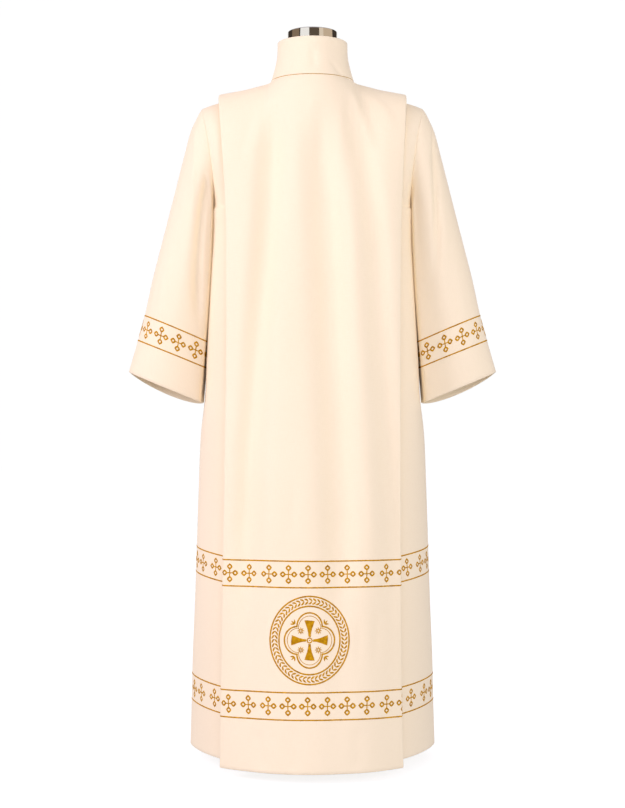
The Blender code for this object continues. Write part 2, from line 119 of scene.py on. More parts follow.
# How far the panel's curves reach at their top, at shares of the way from the centre to the neckline's corner
HOLD_SHARES = (0.00, 0.20, 0.40, 0.67, 0.85, 1.00)
HOLDS = (0.30, 0.23, 0.19, 0.20, 0.25, 0.30)
SHOULDER_X = (0.0855, 0.1400, 0.1940)
SHOULDER_Z = (1.3985, 1.3842, 1.3745)
ARM_CENTRE = (0.2143, 1.2370)
ARM_HALF = (0.0142, 0.1070)
ARM_DEPTH = 0.0700
ARM_BOW = 0.0065
# The way that the body comes to the armhole, from its top to its foot: the angle round it, and the direction
ARM_WAYS = (
    (0, 0.90, 0.00, -0.43),
    (30, 0.90, 0.30, -0.26),
    (60, 0.82, 0.55, -0.10),
    (90, 0.66, 0.75, 0.00),
    (120, 0.28, 0.96, 0.00),
    (150, -0.12, 0.99, 0.00),
    (180, -0.42, 0.91, 0.00),
)

# Sleeve rings from the armhole to the cuff, with the fold that runs down both sides of each sleeve
SLEEVE_NAMES = ("outer_x", "outer_z", "inner_x", "inner_z", "back", "front", "bow", "sag", "angle", "half", "depth")
SLEEVE_RINGS = (
    (0.2285, 1.3440, 0.2001, 1.1300, 0.0700, 0.0700, 0.0065, 0.0000, 124, 17, 0.0000),
    (0.2347, 1.3352, 0.2030, 1.1265, 0.0710, 0.0710, 0.0050, 0.0000, 124, 16, 0.0010),
    (0.2416, 1.3212, 0.2036, 1.1170, 0.0720, 0.0720, 0.0036, 0.0000, 126, 16, 0.0018),
    (0.2530, 1.2950, 0.2043, 1.0980, 0.0720, 0.0720, 0.0020, 0.0000, 130, 15, 0.0018),
    (0.2675, 1.2400, 0.2055, 1.0590, 0.0710, 0.0710, 0.0000, 0.0000, 135, 15, 0.0014),
    (0.2890, 1.1560, 0.2080, 1.0050, 0.0695, 0.0695, 0.0000, 0.0000, 141, 16, 0.0008),
    (0.3110, 1.0705, 0.2113, 0.9500, 0.0680, 0.0680, 0.0000, 0.0000, 146, 17, 0.0003),
    (0.3310, 0.9925, 0.2150, 0.9020, 0.0670, 0.0670, 0.0000, 0.0020, 150, 17, 0.0000),
    (0.3478, 0.9164, 0.2190, 0.8570, 0.0660, 0.0660, 0.0000, 0.0045, 152, 17, 0.0000),
    (0.3620, 0.8646, 0.2235, 0.8050, 0.0645, 0.0645, 0.0000, 0.0090, 152, 17, 0.0000),
    (0.3810, 0.7990, 0.2290, 0.7360, 0.0620, 0.0620, 0.0000, 0.0160, 152, 17, 0.0000),
)
# How much squarer the half of a sleeve next to the body is than an oval, and after how many rings it is so
SLEEVE_SQUARE = 0.80
SLEEVE_SQUARE_FROM = 1.5
SAG_POWER = 1.3

# Collar rings above the seam, and how far apart its ends are
COLLAR_NAMES = ("up", "width", "depth", "dip")
COLLAR_RINGS = (
    (0.0000, 0.0855, 0.0850, 0.0350),
    (0.0050, 0.0840, 0.0832, 0.0342),
    (0.0120, 0.0820, 0.0810, 0.0330),
    (0.0250, 0.0784, 0.0772, 0.0310),
    (0.0420, 0.0743, 0.0731, 0.0285),
    (0.0580, 0.0720, 0.0708, 0.0262),
    (0.0815, 0.0715, 0.0703, 0.0225),
)
COLLAR_MEET = 0.0015

# Placket: its half width, its foot, how far it ends below the neckline, and its grid
PLACKET_HALF = 0.0225
PLACKET_LOW = 1.0601
PLACKET_CLEAR = 0.0004
PLACKET_COLUMNS = 13
PLACKET_ROWS = 90

# Large soft troughs in the panels: where each runs at five heights, its half width and depth, and how they all fade
TROUGH_HEIGHTS = (1.2600, 1.0600, 0.8500, 0.6500, 0.4800)
TROUGH_FADE_HEIGHTS = (0.0500, 0.3000, 0.5000, 1.1000, 1.2400, 1.3500)
TROUGH_FADES = (0.1, 0.3, 1.0, 1.0, 0.8, 0.0)
BACK_TROUGHS = (
    (-0.080, -0.092, -0.108, -0.122, -0.128, 0.027, 0.0205),
    (0.012, 0.028, 0.037, 0.046, 0.052, 0.032, 0.0200),
    (0.097, 0.123, 0.134, 0.147, 0.156, 0.024, 0.0150),
)
FRONT_TROUGHS = (
    (-0.090, -0.101, -0.112, -0.124, -0.132, 0.026, 0.0050),
    (0.058, 0.050, 0.046, 0.040, 0.034, 0.028, 0.0040),
    (0.118, 0.127, 0.136, 0.143, 0.149, 0.025, 0.0045),
)

# Dress form, cap, pole and base. Edges are bevels, the lower one first
FORM_NAMES = ("z", "width", "depth", "squareness")
FORM_RINGS = (
    (0.6200, 0.1480, 0.1020, 2.2),
    (0.6280, 0.1570, 0.1100, 2.2),
    (0.7000, 0.1640, 0.1150, 2.2),
    (0.8000, 0.1600, 0.1110, 2.2),
    (0.9200, 0.1420, 0.0960, 2.2),
    (1.0000, 0.1330, 0.0890, 2.2),
    (1.0900, 0.1390, 0.0910, 2.2),
    (1.1800, 0.1540, 0.0900, 2.3),
    (1.2500, 0.1640, 0.0820, 2.3),
    (1.3000, 0.1720, 0.0700, 2.1),
    (1.3330, 0.1750, 0.0640, 1.8),
    (1.3480, 0.1745, 0.0580, 1.55),
    (1.3583, 0.1680, 0.0540, 1.40),
    (1.3628, 0.1540, 0.0520, 1.35),
    (1.3683, 0.1320, 0.0520, 1.35),
    (1.3770, 0.1040, 0.0560, 1.6),
    (1.3890, 0.0790, 0.0545, 1.9),
    (1.4080, 0.0590, 0.0530, 2.0),
    (1.4350, 0.0520, 0.0520, 2.0),
    (1.4650, 0.0510, 0.0510, 2.0),
)
CAP_RADIUS = 0.0520
CAP_LOW = 1.4653
CAP_TOP = 1.5050
CAP_EDGES = (0.0010, 0.0022)
POLE_RADIUS = 0.0125
POLE_TOP = 0.6197
POLE_EDGES = (0.0006, 0.0006)
BASE_RADIUS = 0.1400
BASE_HEIGHT = 0.0140
BASE_EDGES = (0.0015, 0.0050)
ROUND_STEPS = 96

# Creases of the fine cloth in millimetres: three places (x, z), the half width, the depth, which is below 0 for a
# ridge, and then the share of the length over which each end fades
CREASE_NAMES = ("u1", "v1", "u2", "v2", "u3", "v3", "half", "depth", "fade")
BACK_CREASES = (
    (69, 1388, 92, 1335, 112, 1240, 8, -3.4, 0.30),
    (56, 1376, 74, 1310, 90, 1190, 12, 3, 0.40),
    (92, 1374, 116, 1324, 133, 1220, 11, 2.8, 0.40),
    (108, 1373, 138, 1342, 160, 1280, 8, -2.2, 0.35),
    (-76, 1376, -96, 1325, -112, 1240, 12, -2, 0.40),
    (-105, 1360, -126, 1305, -142, 1200, 13, 2.2, 0.40),
    (-64, 1356, -70, 1300, -78, 1180, 13, 1.4, 0.45),
    (-44, 1240, -48, 1050, -56, 800, 13, 1.2, 0.50),
    (78, 1200, 80, 1020, 88, 780, 12, -1.4, 0.50),
    (-156, 1100, -162, 900, -168, 680, 10, 1.4, 0.50),
    (-102, 660, -110, 540, -108, 440, 11, 1.8, 0.45),
    (-42, 620, -38, 520, -46, 430, 10, 1.4, 0.45),
    (82, 650, 96, 530, 100, 435, 11, 1.6, 0.45),
    (-130, 355, -126, 270, -133, 190, 10, 2, 0.45),
    (-95, 350, -101, 290, -98, 230, 8, 1.2, 0.45),
    (84, 356, 90, 290, 86, 190, 9, 1.4, 0.45),
    (122, 360, 126, 280, 119, 200, 10, 2, 0.45),
    (20, 170, 26, 150, 22, 130, 8, 1, 0.45),
    (-110, 110, -104, 70, -106, 15, 12, 1.6, 0.30),
    (-40, 115, -36, 80, -38, 15, 12, 1.2, 0.30),
    (84, 115, 88, 70, 86, 15, 13, 1.6, 0.30),
)
FRONT_CREASES = (
    (82, 1370, 104, 1300, 116, 1200, 12, -2.2, 0.40),
    (113, 1356, 132, 1300, 146, 1190, 12, 2.2, 0.40),
    (-85, 1365, -108, 1290, -125, 1180, 13, 2.6, 0.40),
    (76, 1200, 80, 980, 86, 740, 14, 1.4, 0.50),
    (-55, 1000, -58, 860, -56, 700, 14, 1.4, 0.50),
    (98, 670, 106, 560, 102, 440, 11, 1.8, 0.45),
    (-106, 640, -110, 530, -118, 435, 12, 1.8, 0.45),
    (30, 350, 36, 260, 32, 190, 11, 1.4, 0.45),
    (-118, 355, -124, 280, -115, 195, 10, 1.8, 0.45),
    (62, 115, 66, 75, 64, 15, 12, 1.4, 0.30),
    (-86, 110, -82, 70, -85, 15, 12, 1.2, 0.30),
)
# The same on the sleeves, with places (degrees round the ring, ring) and the half width in degrees
SLEEVE_CREASES = {
    "left": (
        (118, 1.2, 110, 3.9, 138, 7.6, 12, 8.5, 0.25),
        (14, 1.4, 66, 3.4, 96, 5.4, 9, -2, 0.40),
        (58, 4.6, 72, 6.3, 80, 8.2, 13, 2, 0.45),
        (250, 2.4, 262, 4.2, 270, 6.4, 14, 4, 0.40),
        (310, 1.8, 300, 3.4, 296, 5.4, 12, 2.6, 0.45),
    ),
    "right": (
        (20, 2.2, 60, 3.9, 100, 6.2, 12, 7.5, 0.30),
        (8, 1.2, 44, 2.8, 62, 4.4, 9, -2, 0.40),
        (60, 5.0, 74, 6.6, 82, 8.4, 13, 2, 0.45),
        (240, 2.6, 256, 4.4, 266, 6.0, 14, 3.6, 0.40),
        (304, 2.2, 298, 3.8, 290, 6.0, 12, 2.6, 0.45),
    ),
}
COLLAR_CREASES = (
    (1, 1405, 2, 1430, -1, 1466, 8, 2, 0.35),
    (62, 1396, 51, 1413, 34, 1435, 7, 2.4, 0.35),
    (-48, 1410, -45, 1430, -43, 1462, 9, 0.9, 0.40),
)

# Gold thread: a stitch's length and height, how far it slants, the height of every other one as a share, and how deep
# its ends sit in the cloth
STITCH = 0.0008
THREAD_HIGH = 0.00055
SLANT = 0.45
SLANT_WIDTH = 0.0030
VALLEY = 0.62
THREAD_FOOT = 0.0002
# Straight lines: their width, the distance of their places, and how far they end from a seam
LINE_WIDTH = 0.0033
LINE_STEP = 0.0020
LINE_END = 0.0006
# The collar seam's line, which is stitching and also a painted seam shadow: how far up it lies, its width and its
# height
COLLAR_LINE_UP = 0.0011
COLLAR_LINE_WIDTH = 0.0020
COLLAR_LINE_HIGH = 0.0003
# How finely a cloth is mapped, and from where to where up its hem for each kind of work
CHART_ALONG = 0.001
CHART_UP = 0.002
BAND_BELOW = 0.024
BAND_ABOVE = 0.010
MEDAL_CHART = (0.15, 0.36)
SLEEVE_CHART = (0.03, 0.16)
COLLAR_CHART = 0.02
CROSS = Sizes(
    arm_s=0.0076, arm_v=0.0087, arm_width=0.0026, ring_s=0.0112, ring_v=0.0123, ring_half=0.0041,
    ring_power=1.35, ring_width=0.0040, tip_s=0.0176, tip_v=0.0189, tip_width=0.0026, tip_end=0.0005,
)
# Bands of crosses round the body: the heights of the two lines above the hem, the crosses' places, how far each band
# lies lower at places out from the middle, and how far each side of a cross its slope is read
SLOPE_REACH = 0.01
BAND_PLACES = (0.0, 0.100, 0.190, 0.275, 0.458)
BANDS = {
    "low": Sizes(
        low=0.1030, high=0.1553, sides=(0.3000, 0.3550, 0.4065, 0.4460),
        panel=(-0.1726, -0.1294, -0.0870, -0.0477, -0.0094, 0.0291, 0.0677, 0.1071, 0.1506, 0.1903),
        drop=(0.0, 0.0008, 0.0036, 0.0158, 0.0096),
    ),
    "high": Sizes(
        low=0.3565, high=0.4075, sides=(0.2940, 0.3415, 0.3880, 0.4260),
        panel=(-0.1717, -0.1317, -0.0859, -0.0469, -0.0087, 0.0306, 0.0701, 0.1087, 0.1541, 0.1948),
        drop=(0.0, 0.0, 0.0020, 0.0110, -0.0028),
    ),
}
# Bands of the sleeves: the heights of their lines above the cuff, the crosses' pitch, where the first one stands as a
# share of it, and how far the band climbs toward the body
SLEEVE_BAND = (0.068, 0.121)
CROSS_PITCH = 0.0381
SLEEVE_CROSS = 0.5
SLEEVE_RISE = 0.0045
# The medallion: its middle, the half sizes of its two rings and its wreath, and the cross, frame and flowers inside
MEDAL = Sizes(
    s=-0.0057, v=0.2554, outer_s=0.0775, outer_v=0.0845, inner_s=0.0597, inner_v=0.0655,
    wreath_s=0.0686, wreath_v=0.0751, wreath_mid=0.0720, leaves=58, line=0.0036, lobe=0.0245,
    lobe_out=0.0245, tall=1.08, inner_frame=0.885, inner_line=0.0014, arm_foot=0.0066, arm=0.0355,
    corner=0.0240, bud=0.0405, bud_lean=0.75, eye=0.0046, eye_line=0.0028, dot_half=0.0014,
    dot_width=0.0026,
)
LEAF_PATH = ((-0.0010, 0.0004), (0.0010, 0.0026), (0.0034, 0.0044), (0.0062, 0.0054))
LEAF_WIDTHS = (0.0016, 0.0036, 0.0044, 0.0034, 0.0010)
ARM_WIDTHS = (0.0056, 0.0072, 0.0116, 0.0185, 0.0240)
BUD_PATH = ((0.0008, 0), (0.0092, 0))
BUD_WIDTHS = (0.0014, 0.0034, 0.0038, 0.0026, 0.0008)
PETALS = 8
PETAL_REACH = (0.0014, 0.0068)
PETAL_WIDTHS = (0.00112, 0.0028, 0.00224, 0.00084)

# Weave: the pitch of the threads, a wave texture's own repeat, how the noise is stretched for thick threads each way,
# how much they add to the relief and to the shade, between which values, and the scale of the shade's slow drift
WEAVE_PITCH = 0.00042
WAVE_REPEAT = 0.314
SLUBS_ALONG = (60, 900, 1)
SLUBS_ACROSS = (900, 60, 1)
SLUB_HEIGHT = 0.5
SLUB_SHADE = 0.6
SLUB_LOW, SLUB_HIGH = 0.75, 1.25
DRIFT = 3.0
# Thread: the scales of its strands and of its tone, and how much painted shade the strands add to its colour, darker in
# the valleys between them
STRANDS = 1400.0
THREAD_TONE = 160.0
STRAND_PAINTED_SHADE = 0.5
# Metal: how the noise is stretched for turning marks, their depth on smooth metal, and how it grows with their spread
TURNING_MARKS = (6.0, 6.0, 900.0)
MARK_DEPTH = 0.00002
MARK_GROWTH = 0.0004
MARK_STRENGTH = 0.25
# Strength and depth of the relief, and where the dark shade ends
WEAVE_RELIEF = (0.45, 0.00006)
THREAD_RELIEF = (0.5, 0.0001)
CLOTH_DARK_END = 0.30
THREAD_DARK_END = 0.50
# Sheen, gloss and the thread's roughness
SHEEN_ROUGH = 0.45
SHEEN_COLOUR = (1.0, 0.97, 0.90, 1)
CLOTH_GLOSS = 0.35
THREAD_GLOSS = 0.08
THREAD_ROUGH = 0.60

# Colours
CLOTH_DARK, CLOTH_LIGHT = (0.945, 0.810, 0.562), (0.970, 0.840, 0.598)
GOLD_DARK, GOLD_LIGHT = (0.37, 0.165, 0.001), (0.72, 0.370, 0.004)
# The collar seam line's thread: partly stitching, partly a painted shadow of the seam, in dark golden-brown
SEAM_STITCH_SHADOW_DARK, SEAM_STITCH_SHADOW_LIGHT = (0.34, 0.18, 0.02), (0.60, 0.36, 0.08)
SHELL_DARK, SHELL_LIGHT = (0.70, 0.66, 0.58), (0.80, 0.76, 0.69)
BRIGHT_METAL, BASE_METAL = (0.80, 0.78, 0.75), (0.62, 0.61, 0.60)

# Light: the even light from all round, and each softbox's place, aim, power and colour
AIR = 0.50
AIR_COLOUR = (1.0, 0.940, 1.03)
SOFTBOX = 2.0
LAMPS = {
    "front": ((0, -4.3, 1.75), (0, 0, 0.85), 46, (0.97, 0.875, 1.05)),
    "key": ((-3.73, -1.66, 2.4), (0, 0, 0.80), 104, (0.97, 0.875, 1.05)),
    "fill": ((2.88, -3.20, 1.6), (0, 0, 0.80), 55, (0.96, 0.985, 1.07)),
}
# The floor, and the walls' radius, low and high ends: the backdrop, and the cards that only the metal mirrors, each
# from one angle to another
FLOOR_HALF = 20
FLOOR_COLOUR = (0.35, 0.35, 0.35)
FLOOR_GLOW = 0.82
BACKDROP = (14.0, -0.02, 24.0)
CARD_PLACE = (2.6, 1.2, 3.4)
CARDS = (
    (-180, -152, "white"), (-152, -108, "dark"), (-108, -64, "brown"), (-64, -58, "dark"), (-58, -15, "white"),
    (-15, 31, "deep"), (31, 51, "pale"), (51, 104, "tan"), (104, 150, "dark"), (150, 180, "white"),
)
CARD_COLOURS = {
    "white": (1.0, 0.99, 0.97), "pale": (0.80, 0.68, 0.54), "tan": (0.62, 0.48, 0.34), "brown": (0.24, 0.17, 0.11),
    "deep": (0.105, 0.075, 0.05), "dark": (0.045, 0.032, 0.022),
}

# Camera and picture
CAMERA_AWAY = 3.07
CAMERA_HEIGHT = 0.732
CAMERA_LENS = 65.71


def unit(v):
    return v / np.linalg.norm(v, axis=-1, keepdims=True)


def toward(x, y, z):
    return unit(np.array((x, y, z)))


def mix(a, b, share):
    return a + (b - a) * share


def smooth_read(rows, place):
    """The row of a table at a place counted in rows, along a smooth curve through all rows."""
    i = min(int(place), len(rows) - 2)
    t = place - i
    table = np.array(rows, float)
    p1, p2 = table[i], table[i + 1]
    p0 = table[i - 1] if i > 0 else 2 * p1 - p2
    p3 = table[i + 2] if i + 2 < len(rows) else 2 * p2 - p1
    return p1 + 0.5 * t * (p2 - p0 + t * (2 * p0 - 5 * p1 + 4 * p2 - p3 + t * (3 * (p1 - p2) + p3 - p0)))


def named(names, values):
    return Sizes(**dict(zip(names, values)))


def smooth_rows(names, rows, places):
    """Every named size of a table at many places, as arrays."""
    return named(names, np.transpose([smooth_read(rows, place) for place in places]))


def ring_y(x, width, depth, squareness):
    """How far back a rounded ring lies at a distance x from the centre."""
    inside = np.maximum(0.0, 1 - np.abs(x / width) ** squareness)
    return -depth * inside ** (1 / squareness)


def bend(start, start_way, end, end_way, t):
    """Points on the smooth curve between two ends, with the reach of each end's direction in its length."""
    one, two = start + start_way, end - end_way
    t = np.asarray(t, float)[..., None]
    return start * (1 - t) ** 3 + one * 3 * t * (1 - t) ** 2 + two * 3 * t * t * (1 - t) + end * t ** 3


def neck(angle, dip):
    """Neckline point at an angle from the centre, the cloth's facing, the body's way up, and the way to the collar."""
    out = np.array((math.sin(angle), -math.cos(angle), 0.0))
    point = np.array((NECK_WIDTH * out[0], NECK_DEPTH * out[1], NECK_HEIGHT - dip * math.cos(angle) ** 2))
    along = toward(NECK_WIDTH * -out[1], NECK_DEPTH * out[0], dip * math.sin(2 * angle))
    lean = math.radians(mix(*NECK_LEANS, math.sin(angle) ** 2))
    face = out * math.cos(lean) + np.array((0, 0, math.sin(lean)))
    face = unit(face - along * (face @ along))
    way = np.array((0.0, 1.0, mix(*NECK_CLIMBS, math.sin(angle))))
    return point, face, unit(way - face * (way @ face)), unit(np.cross(face, along))


def arm_point(angle):
    a = math.radians(angle)
    x = ARM_CENTRE[0] + ARM_HALF[0] * math.cos(a) - ARM_BOW * math.sin(a) ** 2
    return np.array((x, -ARM_DEPTH * math.sin(a), ARM_CENTRE[1] + ARM_HALF[1] * math.cos(a)))


def armhole(angle):
    """Armhole point, the way the seam faces, the way the body comes to it, and the way out to the sleeve."""
    turned = min(angle, 360 - angle)
    _, *way = smooth_read(ARM_WAYS, turned / 30)
    way = toward(*way)
    along = unit(arm_point(turned + 0.5) - arm_point(turned - 0.5))
    body_face = np.array((1.0, 0.0, 0.0)) if turned > 179 else unit(np.cross(along, way))
    start = unit(sleeve_point(turned, 0.5) - arm_point(turned))
    sleeve_face = unit(np.cross(along, start))
    face = unit(body_face + sleeve_face)
    out = unit(np.cross(face, along))
    flip = np.array((1, 1 if angle <= 180 else -1, 1))
    return arm_point(turned) * flip, face * flip, way * flip, out * np.sign(out[0]) * flip


def sleeve_point(angle, place):
    """The middle point of the right sleeve at an angle round the ring that lies that many rings from the armhole."""
    ring = named(SLEEVE_NAMES, smooth_read(SLEEVE_RINGS, place))
    a = math.radians(angle)
    share = (1 + math.cos(a)) / 2
    x = mix(ring.inner_x, ring.outer_x, share) - ring.bow * math.sin(a) ** 2
    z = mix(ring.inner_z, ring.outer_z, share)
    sunk = ring.depth * math.exp(-((min(angle, 360 - angle) - ring.angle) / ring.half) ** 2)
    square = SLEEVE_SQUARE * max(0.0, -math.cos(a)) * min(1.0, place / SLEEVE_SQUARE_FROM)
    out = abs(math.sin(a)) ** (1 - square)
    y = -((ring.back if angle <= 180 else ring.front) - sunk) * math.copysign(out, math.sin(a))
    return np.array((x, y, z - ring.sag * max(0.0, -math.sin(a)) ** SAG_POWER))


def body_rows(grid):
    """The body's sizes at each row up to the chest, and the rows above: height, and angle round the armhole or None."""
    heights = [row[0] for row in BODY_LEVELS]
    count = round((heights[-1] - heights[0]) / grid.row)
    places = np.interp(np.linspace(heights[0], heights[-1], count + 1), heights, range(len(heights)))
    sizes = smooth_rows(BODY_NAMES, BODY_LEVELS, places)
    foot = arm_point(180)[2]
    gap = max(2, round((foot - heights[-1]) / grid.row))
    under = [(mix(heights[-1], foot, i / gap), None) for i in range(1, gap)]
    arm = [180 * (1 - i / grid.arm) for i in range(grid.arm + 1)]
    return sizes, under + [(arm_point(angle)[2], angle) for angle in arm]


def panel_top(f, edge, dip):
    """Where a panel column ends, the way the cloth faces there if it is on the neckline, and the way it arrives."""
    corner = NECK_SHARE * edge
    if f <= corner + 1e-9:
        point, face, way, onward = neck(math.pi / 2 * f / corner, dip)
        return point - onward * CURVED_SEAM / 2, face, way
    x = mix(NECK_WIDTH, SHOULDER_X[-1], (f - corner) / (1 - corner))
    return np.array((x, 0.0, np.interp(x, SHOULDER_X, SHOULDER_Z))), None, toward(0.0, 1.0, NECK_CLIMBS[1])


def panel_column(f, edge, sign, dip, sizes, upper):
    """The panel's points at a share f of its half width, from the hem to the top, and the facing of its top."""
    x = f * (sizes.panel_right if sign > 0 else sizes.panel_left)
    y = ring_y(x, sizes.side_width + PANEL_STAND, sizes.panel_depth, sizes.squareness)
    low_part = np.stack([x, y, sizes.z], axis=1)
    top, face, way = panel_top(f, edge, dip)
    low = low_part[-1]
    slope = unit(low - low_part[-2])
    reach = np.linalg.norm(top - low)
    hold = float(np.interp(f / edge / NECK_SHARE, HOLD_SHARES, HOLDS))
    ends = (low, slope * reach * PANEL_REACH, top, way * reach * hold)
    steps = np.linspace(0, 1, CURVE_STEPS)
    tip = arm_point(0)[2]
    wanted = [mix(low[2], top[2], (height - low[2]) / (tip - low[2])) for height, _ in upper]
    high_part = bend(*ends, np.interp(wanted, bend(*ends, steps)[:, 2], steps))
    high_part[-1] = top
    return np.concatenate([low_part, high_part]), face


def trough_depth(points, troughs, sign):
    """How far the panel sinks at each point of a column, from its large soft troughs."""
    x, z = sign * points[:, 0], points[:, 2]
    sunk = np.zeros(len(points))
    for *places, half, depth in troughs:
        centre = np.interp(-z, [-h for h in TROUGH_HEIGHTS], places)
        sunk += depth * np.exp(-((x - centre) / half) ** 2)
    return sunk * np.interp(z, TROUGH_FADE_HEIGHTS, TROUGH_FADES)


def pleat_path(grid):
    """The columns from the centre to the pleat's root: (share of the half width, depth share)."""
    edge = 1 - EDGE_FOLD / HALF_PANEL
    path = [(NECK_SHARE * edge * i / grid.neck, 0.0) for i in range(grid.neck)]
    path += [(edge * mix(NECK_SHARE, 1, i / grid.shoulder), 0.0) for i in range(grid.shoulder + 1)]
    turns = [math.pi * i / grid.fold for i in range(1, grid.fold + 1)]
    path += [(1 - EDGE_FOLD * (1 - math.sin(a)) / HALF_PANEL, (1 - math.cos(a)) / 2) for a in turns]
    inner, steps = PLEAT_RETURN - ROOT_FOLD, grid.turn
    path += [(1 - mix(EDGE_FOLD, inner, i / steps) / HALF_PANEL, 1.0) for i in range(1, steps + 1)]
    path += [(1 - (inner + ROOT_FOLD * math.sin(a)) / HALF_PANEL, 1 + (1 - math.cos(a)) / 2) for a in turns]
    return path, edge


def half_body(sign, dip, troughs, grid):
    """Middle points of the half body at +X, and the facings that its seams need."""
    path, edge = pleat_path(grid)
    sizes, upper = body_rows(grid)
    lower = len(sizes.z)
    rows = lower + len(upper)
    points = np.zeros((rows, len(path) + grid.side, 3))
    faces = np.full(points.shape, np.nan)
    hem_fade = np.clip(1 - (sizes.z - HEM_PANEL) / HEM_FADE, 0, 1)
    for c, (f, deep) in enumerate(path):
        column, top_face = panel_column(f, edge, sign, dip, sizes, upper)
        column[:-1, 1] += trough_depth(column, troughs, sign)[:-1]
        if deep == 0:
            points[:, c] = column
            if top_face is not None:
                faces[-1, c] = top_face
            continue
        near, far = (panel_column(f + step, edge, sign, dip, sizes, upper)[0] for step in (-0.01, 0.01))
        across = far - near
        up = np.gradient(column, axis=0)
        up[-1] = (0, 1, 0)
        facing = unit(np.cross(across, up))
        root = np.interp(column[:, 2], ROOT_DEPTH_HEIGHTS, ROOT_DEPTHS)
        depth = np.interp(deep, (0, 1), (0, RETURN_DEPTH)) + max(0, deep - 1) * (root - RETURN_DEPTH)
        points[:, c] = column - facing * depth[:, None]
        points[:lower, c, 2] += (mix(HEM_PANEL, HEM_SIDE, deep / 2) - HEM_PANEL) * hem_fade
    last = len(path) - 1
    shares = np.arange(1, grid.side + 1) / grid.side
    foot = arm_point(180)
    for r in range(rows):
        start, height, angle = points[r, last], None, None
        if r < lower:
            end = np.array((sizes.side_width[r], -SEAM / 2, sizes.z[r] + (HEM_SIDE - HEM_PANEL) * hem_fade[r]))
            tuck = sizes.tuck[r]
        else:
            height, angle = upper[r - lower]
            tuck = TUCK_UNDERARM
        if height is not None and angle is None:
            share = (height - sizes.z[-1]) / (foot[2] - sizes.z[-1])
            end = np.array((mix(sizes.side_width[-1], foot[0], share), -SEAM / 2, height))
            faces[r, -1] = (1.0, 0.0, 0.0)
        end_way = toward(-tuck, 1.0, 0.0)
        if angle is not None:
            end, faces[r, -1], end_way, out = armhole(angle)
            end = end - out * CURVED_SEAM / 2
            tuck = TUCK_UNDERARM * max(0.0, angle - 90) / 90
        reach = np.linalg.norm(end - start)
        hold = float(np.interp(end[2], SIDE_HOLD_HEIGHTS, SIDE_HOLDS)) + TUCK_HOLD * tuck
        points[r, last + 1:] = bend(start, unit(across[r]) * reach * SIDE_REACH, end, end_way * reach * hold, shares)
    side = points[:, last:]
    held = np.exp(-(((side[1:-1, 1:-1, 2:] - foot[2]) / UNDERARM_SPREAD) ** 2))
    for _ in range(UNDERARM_ROUNDS):
        near = side[:-2, 1:-1] + side[2:, 1:-1] + side[1:-1, :-2] + side[1:-1, 2:]
        side[1:-1, 1:-1, 1] += held[..., 0] * (near[..., 1] / 4 - side[1:-1, 1:-1, 1])
    return points, faces, lower


def mirrored(x, y, *grids):
    """Grids on the other side, with their columns in the opposite order. x or y is -1 where it turns round."""
    return tuple((grid * (x, y, 1))[:, ::-1] for grid in grids)


def facings(points, closed=False):
    """The way each point of a grid faces, from its neighbours."""
    if closed:
        across = np.roll(points, -1, axis=1) - np.roll(points, 1, axis=1)
    else:
        across = np.gradient(points, axis=1)
    return unit(np.cross(across, np.gradient(points, axis=0)))


def body(sign_y, dip, troughs, grid):
    """Middle points and facings of the whole back, or of the front where sign_y is 1."""
    right, right_faces, lower = half_body(1, dip, troughs, grid)
    left, left_faces = mirrored(-1, 1, *half_body(-1, dip, troughs, grid)[:2])
    points = np.concatenate([left[:, :-1], right], axis=1)
    faces = np.concatenate([left_faces[:, :-1], right_faces], axis=1)
    shoulder = np.abs(points[-1, :, 1]) < 1e-3
    points[-1, shoulder, 1] = -SEAM / 2
    normals = facings(points)
    along = np.gradient(points[-1], axis=0)
    up = unit(np.stack([-along[:, 2], np.zeros(len(along)), along[:, 0]], axis=1))
    normals[-1, shoulder] = up[shoulder]
    normals[:lower, (0, -1), 1] = 0
    given = ~np.isnan(faces[..., 0])
    normals[given] = faces[given]
    normals = unit(normals)
    return mirrored(1, -1, points, normals) if sign_y > 0 else (points, normals)


def sleeve_places():
    """Places from the armhole to the cuff, counted in rings, about evenly spaced along the sleeve."""
    middles = np.array([sleeve_point(90, r) for r in range(len(SLEEVE_RINGS))])
    run = lengths(middles[None], 1)[0]
    return np.interp(np.linspace(0, run[-1], round(run[-1] / SLEEVE_STEP) + 1), run, range(len(run)))


def sleeve(sign):
    """Middle points and facings of a sleeve, from the armhole to the cuff, closed around."""
    places = sleeve_places()
    around = 360 * np.arange(SLEEVE_AROUND) / SLEEVE_AROUND
    seam, faces, _, outs = (np.array(part) for part in zip(*map(armhole, around)))
    rows = [[sleeve_point(angle, place) for angle in around] for place in places[1:]]
    points = np.array([seam + outs * CURVED_SEAM / 2, *rows])
    normals = facings(points, closed=True)
    normals[0] = faces
    angles, rings = np.meshgrid(around, places)
    points = crease(points, normals, angles, rings, SLEEVE_CREASES["left" if sign < 0 else "right"])
    return mirrored(-1, 1, points, normals) if sign < 0 else (points, normals)


